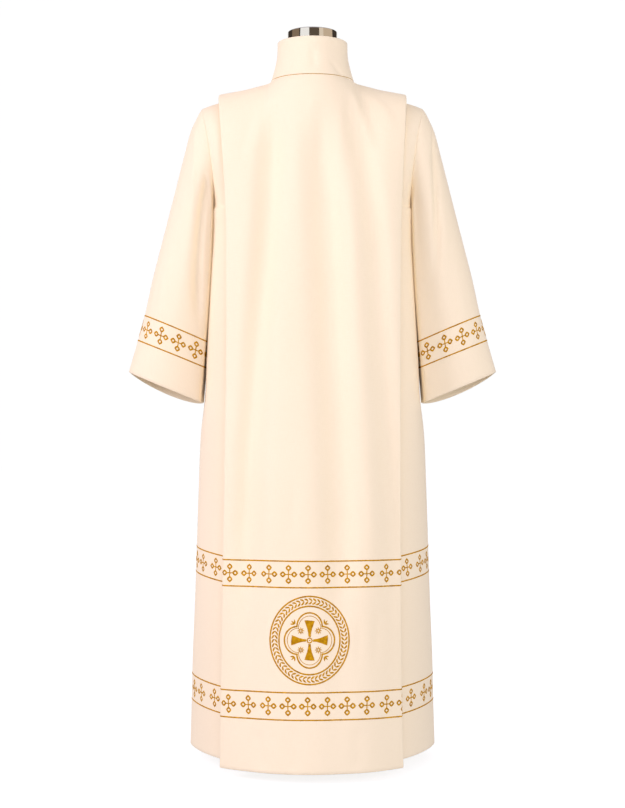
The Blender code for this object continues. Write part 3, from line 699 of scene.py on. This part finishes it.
def collar_grid():
    """Middle points and facings of the collar, from its end at the hidden centre round the back to the other end."""
    places = np.linspace(0, len(COLLAR_RINGS) - 1, COLLAR_ROWS + 1)
    rings = smooth_rows(COLLAR_NAMES, COLLAR_RINGS, places)
    a = 2 * np.pi * np.arange(COLLAR_AROUND + 1) / COLLAR_AROUND
    x, y = -np.outer(rings.width, np.sin(a)), np.outer(rings.depth, np.cos(a))
    z = NECK_HEIGHT + rings.up[:, None] - np.outer(rings.dip, np.maximum(0.0, np.cos(a)) ** 2)
    points = np.stack([x, y, z], axis=2)
    faces = np.zeros((len(a), 3))
    for c, round_angle in enumerate(a):
        back = math.cos(round_angle) <= 0
        angle = math.asin(min(1.0, abs(math.sin(round_angle))))
        _, face, _, onward = neck(angle, 0.0 if back else FRONT_DIP)
        turn = np.array((-1.0 if math.sin(round_angle) > 0 else 1.0, 1.0 if back else -1.0, 1.0))
        faces[c] = face * turn
        points[0, c] += onward * turn * CURVED_SEAM / 2
    points[:, (0, -1), 0] += (-COLLAR_MEET / 2, COLLAR_MEET / 2)
    normals = facings(points)
    normals[0] = faces
    return points, normals


def quads(grid):
    """The four corners of each cell of a grid of point numbers."""
    return np.stack([grid[:-1, :-1], grid[:-1, 1:], grid[1:, 1:], grid[1:, :-1]], axis=2).reshape(-1, 4)


def close(grid):
    """A grid with its first column again after its last."""
    return np.concatenate([grid, grid[:, :1]], axis=1)


def add(name, data):
    """A new object in the scene."""
    obj = bpy.data.objects.new(name, data)
    bpy.context.scene.collection.objects.link(obj)
    return obj


def mesh_object(name, verts, faces, material):
    """A new object with a mesh of one material. Faces of mixed sizes come as a list."""
    mesh = bpy.data.meshes.new(name)
    mesh.from_pydata(verts.tolist(), [], faces if isinstance(faces, list) else faces.tolist())
    mesh.materials.append(material)
    return add(name, mesh)


def piece(name, verts, faces, material, stands_for=None):
    """A smooth piece that rides on the body, and may stand for a node, whose imported part it hides."""
    obj = mesh_object(name, verts, faces, material)
    obj.data.polygons.foreach_set("use_smooth", [True] * len(obj.data.polygons))
    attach(obj, "root")
    if stands_for:
        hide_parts(stands_for)
    return obj


def lengths(points, axis):
    """How far each point of a grid lies along its rows or columns, from the first."""
    steps = np.linalg.norm(np.diff(points, axis=axis), axis=2)
    start = np.zeros_like(steps[:1] if axis == 0 else steps[:, :1])
    return np.concatenate([start, np.cumsum(steps, axis=axis)], axis=axis)


def cloth_wall(name, points, normals, thick, closed=False, lift=0.0):
    """Cloth of even thickness on a grid of middle points, with rounded edges. Lifted cloth lies outside its points."""
    rows, around = points.shape[:2]
    shift = lift + thick if lift else thick / 2
    outer, inner = points + normals * shift, points + normals * (shift - thick)
    middle = (outer + inner) / 2
    count = rows * around
    ids = np.arange(count).reshape(rows, around)
    cells = quads(close(ids) if closed else ids)
    verts, faces = [outer.reshape(-1, 3), inner.reshape(-1, 3)], [cells, cells[:, (0, 3, 2, 1)] + count]
    flat = np.stack([lengths(points, 1), lengths(points, 0)], axis=2)
    flat[..., 0] -= flat[:, around // 2: around // 2 + 1, 0].copy()
    places = [flat.reshape(-1, 2)] * 2
    start = 2 * count

    def rim(line, beyond, away):
        """Joins the two sides over a rounded rim along one edge. beyond is the row next to it, away is its order."""
        nonlocal start
        verts.append(middle[line] + unit(middle[line] - middle[beyond]) * thick * 0.5)
        places.append(flat[line])
        edge = ids[line]
        own = start + np.arange(len(edge))
        if closed:
            edge, own = np.append(edge, edge[0]), np.append(own, own[0])
        for one, two in ((edge, own), (own, edge + count)):
            quad = np.stack([one[:-1], two[:-1], two[1:], one[1:]], axis=1)
            faces.append(quad if away else quad[:, ::-1])
        start += len(verts[-1])

    rim(np.s_[0, :], np.s_[1, :], True)
    rim(np.s_[-1, :], np.s_[-2, :], False)
    if not closed:
        rim(np.s_[:, 0], np.s_[:, 1], False)
        rim(np.s_[:, -1], np.s_[:, -2], True)
    obj = piece(f"alb_{name}", np.concatenate(verts), np.concatenate(faces), cloth, name)
    # Each point's place on the flat cut, in metres, which the weave follows
    corner = np.zeros(len(obj.data.loops), int)
    obj.data.loops.foreach_get("vertex_index", corner)
    obj.data.uv_layers.new(name="cut").data.foreach_set("uv", np.concatenate(places)[corner].ravel())
    return obj


def soft_step(low, high, x):
    t = np.clip((x - low) / (high - low), 0, 1)
    return t * t * (3 - 2 * t)


def crease(points, normals, u, v, creases):
    """Sinks a cloth along its creases. Each runs through three places (u, v), and is longest along v."""
    sunk = np.zeros(u.shape)
    for row in creases:
        c = named(CREASE_NAMES, row)
        t = (v - c.v1) / (c.v3 - c.v1)
        middle = (c.v2 - c.v1) / (c.v3 - c.v1)
        bow = (c.u2 - mix(c.u1, c.u3, middle)) / (middle * (1 - middle))
        centre = mix(c.u1, c.u3, t) + bow * t * (1 - t)
        along = soft_step(0, c.fade, t) * soft_step(0, c.fade, 1 - t)
        sunk += c.depth * along * np.exp(-((u - centre) / c.half) ** 2)
    return points - normals * sunk[..., None] * MM


def read_lines(places, runs, lines):
    """Points with their facings at places along each line. runs tells how far along its own points lie."""
    found = [[np.interp(places, run, line[:, k]) for k in range(6)] for run, line in zip(runs, lines)]
    return np.stack(found).transpose(0, 2, 1)


def placket_grid(points, normals):
    """The placket's points and facings on the front panel, whose columns run toward -X."""
    middle = points.shape[1] // 2
    panel = np.concatenate([points, normals], axis=2)[:, middle - 8: middle + 9][:, ::-1]
    columns = []
    for x in np.linspace(-PLACKET_HALF, PLACKET_HALF, PLACKET_COLUMNS)[::-1]:
        column = read_lines([x], panel[..., 0], panel)[:, 0]
        heights = np.linspace(PLACKET_LOW, column[-1, 2] - PLACKET_CLEAR, PLACKET_ROWS)
        columns.append(read_lines(heights, [column[:, 2]], [column])[0])
    grid = np.stack(columns, axis=1)
    facing = unit(grid[..., 3:])
    return grid[..., :3] + facing * CLOTH / 2, facing


class Chart:
    """A cloth's outer side as a map: s runs round it in metres from one column, v up from its hem."""

    def __init__(self, points, normals, thick, zero, low, high, closed=False):
        outer = points + normals * thick / 2
        self.low = low
        both = np.concatenate([outer, normals], axis=2).transpose(1, 0, 2)
        levels = np.arange(low, high, CHART_UP)
        lifted = read_lines(levels, lengths(outer, 0).T, both).transpose(1, 0, 2)
        around = lifted.shape[1]
        if closed:
            lifted = np.concatenate([lifted, lifted, lifted[:, :1]], axis=1)
            zero += around if zero < around // 2 else 0
        run = lengths(lifted[..., :3], 1)
        run = run - run[:, zero: zero + 1]
        self.start, self.end = run[:, 0].max(), run[:, -1].min()
        self.places = np.arange(self.start, self.end, CHART_ALONG)
        self.map = read_lines(self.places, run, lifted)
        self.round = (run[:, around] - run[:, 0]).mean() if closed else None

    def at(self, s, v, lift):
        """Points that far off the cloth at places (s, v)."""
        i = np.clip((np.asarray(s) - self.start) / CHART_ALONG, 0, len(self.places) - 1.001)
        j = np.clip((np.asarray(v) - self.low) / CHART_UP, 0, len(self.map) - 1.001)
        a, b = i.astype(int), j.astype(int)
        p, q = (i - a)[:, None], (j - b)[:, None]
        one = mix(self.map[b, a], self.map[b, a + 1], p)
        two = mix(self.map[b + 1, a], self.map[b + 1, a + 1], p)
        found = mix(one, two, q)
        return found[:, :3] + unit(found[:, 3:]) * np.asarray(lift)[:, None]


def evenly(path, step, closed):
    """A path's points about a step apart, and the way that it runs at each."""
    path = np.asarray(path, float)
    if closed:
        path = np.concatenate([path, path[:1]])
    run = np.concatenate([[0.0], np.cumsum(np.linalg.norm(np.diff(path, axis=0), axis=1))])
    count = max(3, round(run[-1] / step))
    at = np.linspace(0, run[-1], count + 1)[: count if closed else None]
    points = np.stack([np.interp(at, run, path[:, k]) for k in (0, 1)], axis=1)
    if closed:
        return points, unit(np.roll(points, -1, axis=0) - np.roll(points, 1, axis=0))
    return points, unit(np.gradient(points, axis=0))


def satin(path, width, closed=False, high=THREAD_HIGH):
    """Satin stitch along a path on a chart: places (s, v), how far each lies off the cloth, and the faces."""
    points, ways = evenly(path, STITCH / 2, closed)
    count = len(points)
    widths = np.interp(np.linspace(0, 1, count), np.linspace(0, 1, np.size(width)), np.atleast_1d(width))
    if not closed:
        widths[[0, -1]] *= 0.5
    side = np.stack([-ways[:, 1], ways[:, 0]], axis=1)
    across = np.array((-1.0, -0.5, 0.5, 1.0))
    ridge = high * np.where(np.arange(count) % 2 == 0, 1.0, VALLEY)
    foot = np.full(count, -THREAD_FOOT)
    shift = side[:, None] * (widths[:, None] / 2 * across)[..., None]
    shift += ways[:, None] * (np.minimum(widths[:, None], SLANT_WIDTH) / 2 * across * SLANT)[..., None]
    grid = np.arange(count * 4).reshape(count, 4)
    if closed:
        grid = np.concatenate([grid, grid[:1]])
    lift = np.stack([foot, ridge, ridge, foot], axis=1)
    return (points[:, None] + shift).reshape(-1, 2), lift.reshape(-1), quads(grid)[:, ::-1]


def together(strokes):
    """Several strokes as one motif."""
    places, lifts, faces = zip(*strokes)
    starts = np.cumsum([0, *map(len, places)])
    return np.concatenate(places), np.concatenate(lifts), np.concatenate([f + start for f, start in zip(faces, starts)])


def moved(motif, s, v, turn=0.0):
    """A motif turned and set at a place on a chart."""
    places, lift, faces = motif
    c, k = math.cos(turn), math.sin(turn)
    turned = np.stack([places[:, 0] * c - places[:, 1] * k, places[:, 0] * k + places[:, 1] * c], axis=1)
    return turned + (s, v), lift, faces


def embroider(name, chart, strokes, material):
    places, lift, faces = together(strokes)
    return piece(name, chart.at(places[:, 0], places[:, 1], lift), faces, material)


def rounds(across, up, power, count):
    """The places of a closed round or diamond-round path about the middle."""
    a = 2 * np.pi * np.arange(count) / count
    return [size * np.sign(w) * np.abs(w) ** (2 / power) for size, w in ((across, np.cos(a)), (up, np.sin(a)))]


def ring(across, up, power=2.0, count=96):
    return np.stack(rounds(across, up, power, count), axis=1)


def small_cross():
    """A cross whose four arms end in diamond-round rings with a small point."""
    c = CROSS
    strokes = [
        satin([(-c.arm_s, 0), (c.arm_s, 0)], c.arm_width),
        satin([(0, -c.arm_v), (0, c.arm_v)], c.arm_width),
    ]
    round_end = satin(ring(c.ring_half, c.ring_half, c.ring_power, 40), c.ring_width, True)
    for s, v in ((1, 0), (-1, 0), (0, 1), (0, -1)):
        strokes.append(moved(round_end, s * c.ring_s, v * c.ring_v))
        foot = (s * (c.ring_s + c.ring_half), v * (c.ring_v + c.ring_half))
        strokes.append(satin([foot, (s * c.tip_s, v * c.tip_v)], (c.tip_width, c.tip_end)))
    return together(strokes)


def band_drop(s, table):
    """How far a band lies lower at places s than at the middle of the panel."""
    return np.interp(np.abs(s), BAND_PLACES, table.drop)


def sleeve_rise(s, half, lean):
    """How far a sleeve's band lies higher at places s, as it climbs toward the body. half is half way round."""
    return SLEEVE_RISE * (1 + lean * np.sin(math.pi * s / half)) / 2


def line(run, v, width=LINE_WIDTH, high=THREAD_HIGH):
    """A stitched line along places s = run at the heights v."""
    return satin(np.stack([run, v], axis=1), width, high=high)


def wreath():
    """The medallion's ring of leaf pairs, which run on anticlockwise."""
    pair = together([satin([(s, side * v) for s, v in LEAF_PATH], LEAF_WIDTHS) for side in (1, -1)])
    path = ring(MEDAL.wreath_s, MEDAL.wreath_v, count=720)
    points, ways = evenly(path, 2 * np.pi * MEDAL.wreath_mid / MEDAL.leaves, True)
    return [moved(pair, *point, math.atan2(way[1], way[0])) for point, way in zip(points, ways)]


def rosette():
    """A small flower of satin petals about the middle."""
    turns = [2 * math.pi * i / PETALS for i in range(PETALS)]
    outs = [np.array((math.cos(a), math.sin(a))) for a in turns]
    return together([satin([out * PETAL_REACH[0], out * PETAL_REACH[1]], PETAL_WIDTHS) for out in outs])


def centrepiece():
    """A flared cross in a four-lobed frame, with a flower in each corner."""
    m = MEDAL
    a = np.linspace(0, 2 * np.pi, 240, endpoint=False)
    near = (a + np.pi / 4) % (np.pi / 2) - np.pi / 4
    reach = m.lobe_out * np.cos(near) + np.sqrt(m.lobe ** 2 - (m.lobe_out * np.sin(near)) ** 2)
    frame_path = np.stack([reach * np.cos(a), reach * np.sin(a) * m.tall], axis=1)
    strokes = [satin(frame_path, m.line, True), satin(frame_path * m.inner_frame, m.inner_line, True)]
    leaf, flower = satin(BUD_PATH, BUD_WIDTHS), rosette()
    for i in range(4):
        turn = math.pi / 2 * i
        stretch = m.tall if i % 2 else 1.0
        strokes.append(moved(satin([(m.arm_foot, 0), (m.arm * stretch, 0)], ARM_WIDTHS), 0, 0, turn))
        out = np.array((math.cos(turn + math.pi / 4), math.sin(turn + math.pi / 4) * m.tall))
        strokes.append(moved(flower, *(out * m.corner)))
        for lean in (-m.bud_lean, 0.0, m.bud_lean):
            strokes.append(moved(leaf, *(out * m.bud), turn + math.pi / 4 + lean))
    strokes.append(satin(ring(m.eye, m.eye, count=32), m.eye_line, True))
    strokes.append(satin([(-m.dot_half, 0), (m.dot_half, 0)], m.dot_width))
    return together(strokes)


def medallion():
    """The medallion's two rings, its wreath and its middle."""
    m = MEDAL
    rims = [satin(ring(s, v, count=240), m.line, True) for s, v in ((m.outer_s, m.outer_v), (m.inner_s, m.inner_v))]
    return rims + wreath() + [centrepiece()]


def lathe(name, profile, material, stands_for, around=ROUND_STEPS, squareness=None):
    """A turned solid through (z, width, depth) rings, closed at both ends."""
    profile = np.asarray(profile, float)
    power = squareness[:, None] if squareness is not None else 2.0
    x, y = rounds(profile[:, 1:2], profile[:, 2:3], power, around)
    grid = np.arange(x.size).reshape(x.shape)
    verts = np.stack([x, y, np.repeat(profile[:, :1], around, axis=1)], axis=2).reshape(-1, 3)
    faces = quads(close(grid)).tolist() + [grid[0, ::-1].tolist(), grid[-1].tolist()]
    return piece(name, verts, faces, material, stands_for)


def rounded(low, high, radius, bevel_low, bevel_high, steps=6):
    """A round bar's rings from low to high, with quarter-round edges."""
    turns = [math.pi / 2 * i / steps for i in range(steps + 1)]
    rings = [(low + bevel_low * (1 - math.cos(a)), radius - bevel_low * (1 - math.sin(a))) for a in turns]
    rings += [(high - bevel_high * (1 - math.sin(a)), radius - bevel_high * (1 - math.cos(a))) for a in turns]
    return [(z, r, r) for z, r in rings]


def feed(tree, socket, value):
    """Links a socket into another, or sets the other's own value."""
    if isinstance(value, bpy.types.NodeSocket):
        tree.links.new(value, socket)
    else:
        socket.default_value = value


def give(tree, made, **values):
    """Sets a shader node's inputs and settings by name."""
    for key, value in values.items():
        socket = made.inputs.get(key.replace("_", " "))
        if socket is None:
            setattr(made, key, value)
        else:
            feed(tree, socket, value)
    return made


def node(tree, kind, **values):
    return give(tree, tree.nodes.new("ShaderNode" + kind), **values)


def calc(tree, operation, *values):
    """What a math node makes of some numbers or sockets."""
    made = node(tree, "Math", operation=operation)
    for socket, value in zip(made.inputs, values):
        feed(tree, socket, value)
    return made.outputs[0]


def noise(tree, place, scale, detail):
    return node(tree, "TexNoise", Vector=place, Scale=scale, Detail=detail).outputs["Fac"]


def stretched(tree, place, scale):
    return node(tree, "Mapping", Vector=place, Scale=scale).outputs[0]


def local(tree):
    return node(tree, "TexCoord").outputs["Object"]


def two_tone(tree, shade, dark_end, dark, light):
    """A colour between two shades."""
    ramp = node(tree, "ValToRGB", Fac=shade)
    for i, place, colour in ((0, dark_end, dark), (1, 1.0, light)):
        ramp.color_ramp.elements[i].position, ramp.color_ramp.elements[i].color = place, (*colour, 1)
    return ramp.outputs["Color"]


def relief(tree, height, strength, distance):
    return node(tree, "Bump", Height=height, Strength=strength, Distance=distance).outputs["Normal"]


def finish(name, colour, rough, metal=0.0):
    """A new material, its tree, and its Principled shader."""
    material = bpy.data.materials.new(name)
    material.use_nodes = True
    tree = material.node_tree
    shader = give(tree, tree.nodes["Principled BSDF"], Base_Color=(*colour, 1), Roughness=rough, Metallic=metal)
    return material, tree, shader


def glow(name, colour, rough, light, strength):
    """A material that glows."""
    material, tree, shader = finish(name, colour, rough)
    give(tree, shader, Emission_Color=(*light, 1), Emission_Strength=strength)
    return material


def new_group(name, inputs, outputs):
    """A node group with named inputs, each with its usual value, and outputs; and the nodes at its two ends."""
    group = bpy.data.node_groups.new(name, "ShaderNodeTree")
    for key, value in inputs.items():
        group.interface.new_socket(key, in_out="INPUT", socket_type="NodeSocketFloat").default_value = value
    for key in outputs:
        group.interface.new_socket(key, in_out="OUTPUT", socket_type="NodeSocketFloat")
    return group, group.nodes.new("NodeGroupInput").outputs, group.nodes.new("NodeGroupOutput")


def weave_group():
    """Plain weave from the flat cut's place: how high the threads stand, and a shade that drifts along them."""
    group, into, out = new_group("plain_weave", {"Pitch": WEAVE_PITCH, "Slubs": 1.0}, ("Height", "Shade"))
    flat = node(group, "UVMap", uv_map="cut").outputs["UV"]
    scale = calc(group, "DIVIDE", WAVE_REPEAT, into["Pitch"])
    waves = [node(group, "TexWave", bands_direction=way, Vector=flat, Scale=scale).outputs["Fac"] for way in "XY"]
    long = [noise(group, stretched(group, flat, slub), 1.0, 3.0) for slub in (SLUBS_ALONG, SLUBS_ACROSS)]
    slub = calc(group, "MULTIPLY", calc(group, "ADD", *long), into["Slubs"])
    uneven = node(group, "MapRange", Value=slub, From_Min=SLUB_LOW, From_Max=SLUB_HIGH).outputs[0]
    drift = noise(group, local(group), DRIFT, 2.0)
    height = calc(group, "MULTIPLY_ADD", slub, SLUB_HEIGHT, calc(group, "MULTIPLY", *waves))
    give(group, out, Height=height, Shade=calc(group, "MULTIPLY_ADD", uneven, SLUB_SHADE, drift))
    return group


def strand_group():
    """Fine strands across each stitch: how high they stand, and a colour shade of random tone with painted shade in the
    valleys between them.
    """
    group, into, out = new_group("thread_strands", {"Fineness": STRANDS, "Tone": THREAD_TONE}, ("Height", "Shade"))
    place = local(group)
    height, tone = noise(group, place, into["Fineness"], 2.0), noise(group, place, into["Tone"], 2.0)
    # Painted shade: the colour falls with the strands' height, so the valleys between them are darker
    give(group, out, Height=height, Shade=calc(group, "MULTIPLY_ADD", height, STRAND_PAINTED_SHADE, tone))
    return group


def marks_group():
    """Fine turning marks round a bar: how high they stand, and a polish that goes with them between two values."""
    group, into, out = new_group("turning_marks", {"Smooth": 0.0, "Rough": 1.0}, ("Height", "Polish"))
    height = noise(group, stretched(group, local(group), TURNING_MARKS), 1.0, 4.0)
    polish = node(group, "MapRange", Value=height, To_Min=into["Smooth"], To_Max=into["Rough"]).outputs[0]
    give(group, out, Height=height, Polish=polish)
    return group


def cloth_finish(name, dark, light, rough, sheen):
    """Fine plain-woven cloth whose colour drifts a little between two shades along its threads."""
    material, tree, shader = finish(name, light, rough)
    woven = node(tree, "Group", node_tree=weave).outputs
    give(
        tree, shader, Base_Color=two_tone(tree, woven["Shade"], CLOTH_DARK_END, dark, light),
        Normal=relief(tree, woven["Height"], *WEAVE_RELIEF), Sheen_Weight=sheen, Sheen_Roughness=SHEEN_ROUGH,
        Sheen_Tint=SHEEN_COLOUR, Specular_IOR_Level=CLOTH_GLOSS,
    )
    return material


def thread_finish(name, dark, light):
    """Satin-stitched thread between two shades, darker as painted shade in the valleys between its strands."""
    material, tree, shader = finish(name, light, THREAD_ROUGH)
    thread = node(tree, "Group", node_tree=strands).outputs
    give(
        tree, shader, Base_Color=two_tone(tree, thread["Shade"], THREAD_DARK_END, dark, light),
        Normal=relief(tree, thread["Height"], *THREAD_RELIEF), Specular_IOR_Level=THREAD_GLOSS,
    )
    return material


def metal_finish(name, colour, rough, spread):
    """Bare metal with fine turning marks, whose polish is uneven by a spread each way."""
    material, tree, shader = finish(name, colour, rough, 1.0)
    turned = give(tree, node(tree, "Group", node_tree=marks), Smooth=rough - spread, Rough=rough + spread).outputs
    normal = relief(tree, turned["Height"], MARK_STRENGTH, MARK_DEPTH + spread * MARK_GROWTH)
    give(tree, shader, Roughness=turned["Polish"], Normal=normal)
    return material


def wall(name, radius, low, high, start, end, colour, seen):
    """An upright curved studio wall that glows. start and end are degrees from the camera's side toward +X."""
    count = max(2, round(abs(end - start) / 4))
    a = np.radians(np.linspace(start, end, count + 1))
    foot = np.stack([radius * np.sin(a), -radius * np.cos(a), np.full(count + 1, low)], axis=1)
    verts = np.concatenate([foot, foot + (0, 0, high - low)])
    faces = quads(np.arange(2 * count + 2).reshape(2, count + 1))
    obj = mesh_object(name, verts, faces, glow(name, (0, 0, 0), 1.0, colour, 1.0))
    obj.visible_camera, obj.visible_glossy = seen, not seen
    for ray in ("diffuse", "transmission", "volume_scatter", "shadow"):
        setattr(obj, f"visible_{ray}", False)


def softbox(name, at, aim, power, colour):
    lamp = bpy.data.lights.new(name, "AREA")
    lamp.color, lamp.energy = colour, power
    lamp.shape, lamp.size, lamp.size_y = "RECTANGLE", SOFTBOX, SOFTBOX
    obj = add(name, lamp)
    obj.location = at
    obj.rotation_euler = (Vector(aim) - Vector(at)).to_track_quat("-Z", "Y").to_euler()
    obj.visible_glossy = False


weave, strands, marks = weave_group(), strand_group(), marks_group()
cloth = cloth_finish("alb_cloth", CLOTH_DARK, CLOTH_LIGHT, rough=0.80, sheen=0.22)
gold = thread_finish("gold_thread", GOLD_DARK, GOLD_LIGHT)
seam_stitch_and_painted_shadow = thread_finish("seam_stitch_and_painted_shadow", SEAM_STITCH_SHADOW_DARK, SEAM_STITCH_SHADOW_LIGHT)
shell = cloth_finish("form_shell", SHELL_DARK, SHELL_LIGHT, rough=0.75, sheen=0.05)
chrome = metal_finish("bright_metal", BRIGHT_METAL, rough=0.07, spread=0.03)
base_metal = metal_finish("base_metal", BASE_METAL, rough=0.32, spread=0.10)

# Cloths
grids = {
    "back": body(-1, 0.0, BACK_TROUGHS, BACK_GRID), "front": body(1, FRONT_DIP, FRONT_TROUGHS, FRONT_GRID),
    "sleeve_left": sleeve(-1), "sleeve_right": sleeve(1), "collar": collar_grid(),
}
for name, creases in (("back", BACK_CREASES), ("front", FRONT_CREASES), ("collar", COLLAR_CREASES)):
    points, normals = grids[name]
    grids[name] = crease(points, normals, points[..., 0] / MM, points[..., 2] / MM, creases), normals
grids["placket"] = placket_grid(*grids["front"])
cloths = {}
for name, grid in grids.items():
    thick = COLLAR_CLOTH if name == "collar" else CLOTH
    cloths[name] = cloth_wall(name, *grid, thick, name.startswith("sleeve"), SEAM if name == "placket" else 0.0)

# Embroidery
cross = small_cross()
worked = {name: [] for name in cloths}
for name in ("back", "front"):
    middle = grids[name][0].shape[1] // 2
    for band, table in BANDS.items():
        low, high = table.low, table.high
        chart = Chart(*grids[name], CLOTH, middle, low - BAND_BELOW, high + BAND_ABOVE)
        run = np.append(np.arange(chart.start + LINE_END, chart.end - LINE_END, LINE_STEP), chart.end - LINE_END)
        strokes = [line(run, height - band_drop(run, table)) for height in (low, high)]
        for s in table.panel + table.sides + tuple(-s for s in table.sides):
            slope = (band_drop(s - SLOPE_REACH, table) - band_drop(s + SLOPE_REACH, table)) / (2 * SLOPE_REACH)
            strokes.append(moved(cross, s, (low + high) / 2 - band_drop(s, table), math.atan(slope)))
        worked[name].append(embroider(f"{name}_band_{band}", chart, strokes, gold))
    if name == "back":
        chart = Chart(*grids[name], CLOTH, middle, *MEDAL_CHART)
        strokes = [moved(stroke, MEDAL.s, MEDAL.v) for stroke in medallion()]
        worked[name].append(embroider("back_medallion", chart, strokes, gold))
for name, lean in (("sleeve_left", -1), ("sleeve_right", 1)):
    points, normals = grids[name]
    middle = (SLEEVE_AROUND // 4) * lean % SLEEVE_AROUND
    chart = Chart(points[::-1], normals[::-1], CLOTH, middle, *SLEEVE_CHART, closed=True)
    half = chart.round / 2
    run = np.arange(-half - LINE_STEP / 2, half + LINE_STEP / 2, LINE_STEP)
    strokes = [line(run, height + sleeve_rise(run, half, lean)) for height in SLEEVE_BAND]
    count = round(chart.round / CROSS_PITCH)
    for k in range(count):
        s = -half + (k + SLEEVE_CROSS) * chart.round / count
        slope = SLEEVE_RISE * lean * math.cos(math.pi * s / half) * math.pi / half / 2
        strokes.append(moved(cross, s, sum(SLEEVE_BAND) / 2 + sleeve_rise(s, half, lean), math.atan(slope)))
    worked[name].append(embroider(f"{name}_band", chart, strokes, gold))
# The collar's seam line: a stitched thread, coloured dark golden-brown as a painted shadow of the seam as well
chart = Chart(*grids["collar"], COLLAR_CLOTH, COLLAR_AROUND // 2, 0.0, COLLAR_CHART)
run = np.arange(chart.start + LINE_STEP / 2, chart.end - LINE_STEP / 2, LINE_STEP)
strokes = [line(run, np.full(len(run), COLLAR_LINE_UP), COLLAR_LINE_WIDTH, COLLAR_LINE_HIGH)]
worked["collar"].append(embroider("collar_seam_line_and_painted_shadow", chart, strokes, seam_stitch_and_painted_shadow))

# Dress form and its stand
rings = smooth_rows(FORM_NAMES, FORM_RINGS, np.linspace(0, len(FORM_RINGS) - 1, 4 * len(FORM_RINGS) - 3))
profile = np.stack([rings.z, rings.width, rings.depth], axis=1)
lathe("torso", profile, shell, "form_torso", squareness=rings.squareness)
lathe("cap", rounded(CAP_LOW, CAP_TOP, CAP_RADIUS, *CAP_EDGES), chrome, "neck_cap")
pole = rounded(BASE_HEIGHT + SEAM, POLE_TOP, POLE_RADIUS, *POLE_EDGES, 3)
lathe("stand_pole", pole, chrome, "pole", 48)
lathe("stand_base", rounded(0.0, BASE_HEIGHT, BASE_RADIUS, *BASE_EDGES), base_metal, "base")

# Studio
corners = FLOOR_HALF * np.array([(-1, -1, 0), (1, -1, 0), (1, 1, 0), (-1, 1, 0)])
floor = mesh_object("floor", corners, [(0, 1, 2, 3)], glow("floor_white", FLOOR_COLOUR, 0.9, (1, 1, 1), FLOOR_GLOW))
floor.visible_diffuse = False

camera = add("camera", bpy.data.cameras.new("camera"))
camera.location = (0, -CAMERA_AWAY, CAMERA_HEIGHT)
camera.rotation_euler = (math.radians(90), 0, 0)
camera.data.lens = CAMERA_LENS
bpy.context.scene.camera = camera

world = bpy.data.worlds.new("studio")
bpy.context.scene.world = world
world.use_nodes = True
give(world.node_tree, world.node_tree.nodes["Background"], Color=(*AIR_COLOUR, 1), Strength=AIR)
bpy.context.scene.view_settings.view_transform = "Standard"

wall("backdrop", *BACKDROP, 0, 360, (1, 1, 1), True)
for count, (start, end, shade) in enumerate(CARDS):
    wall(f"card_{count}", *CARD_PLACE, start, end, CARD_COLOURS[shade], False)
for name, row in LAMPS.items():
    softbox(name, *row)
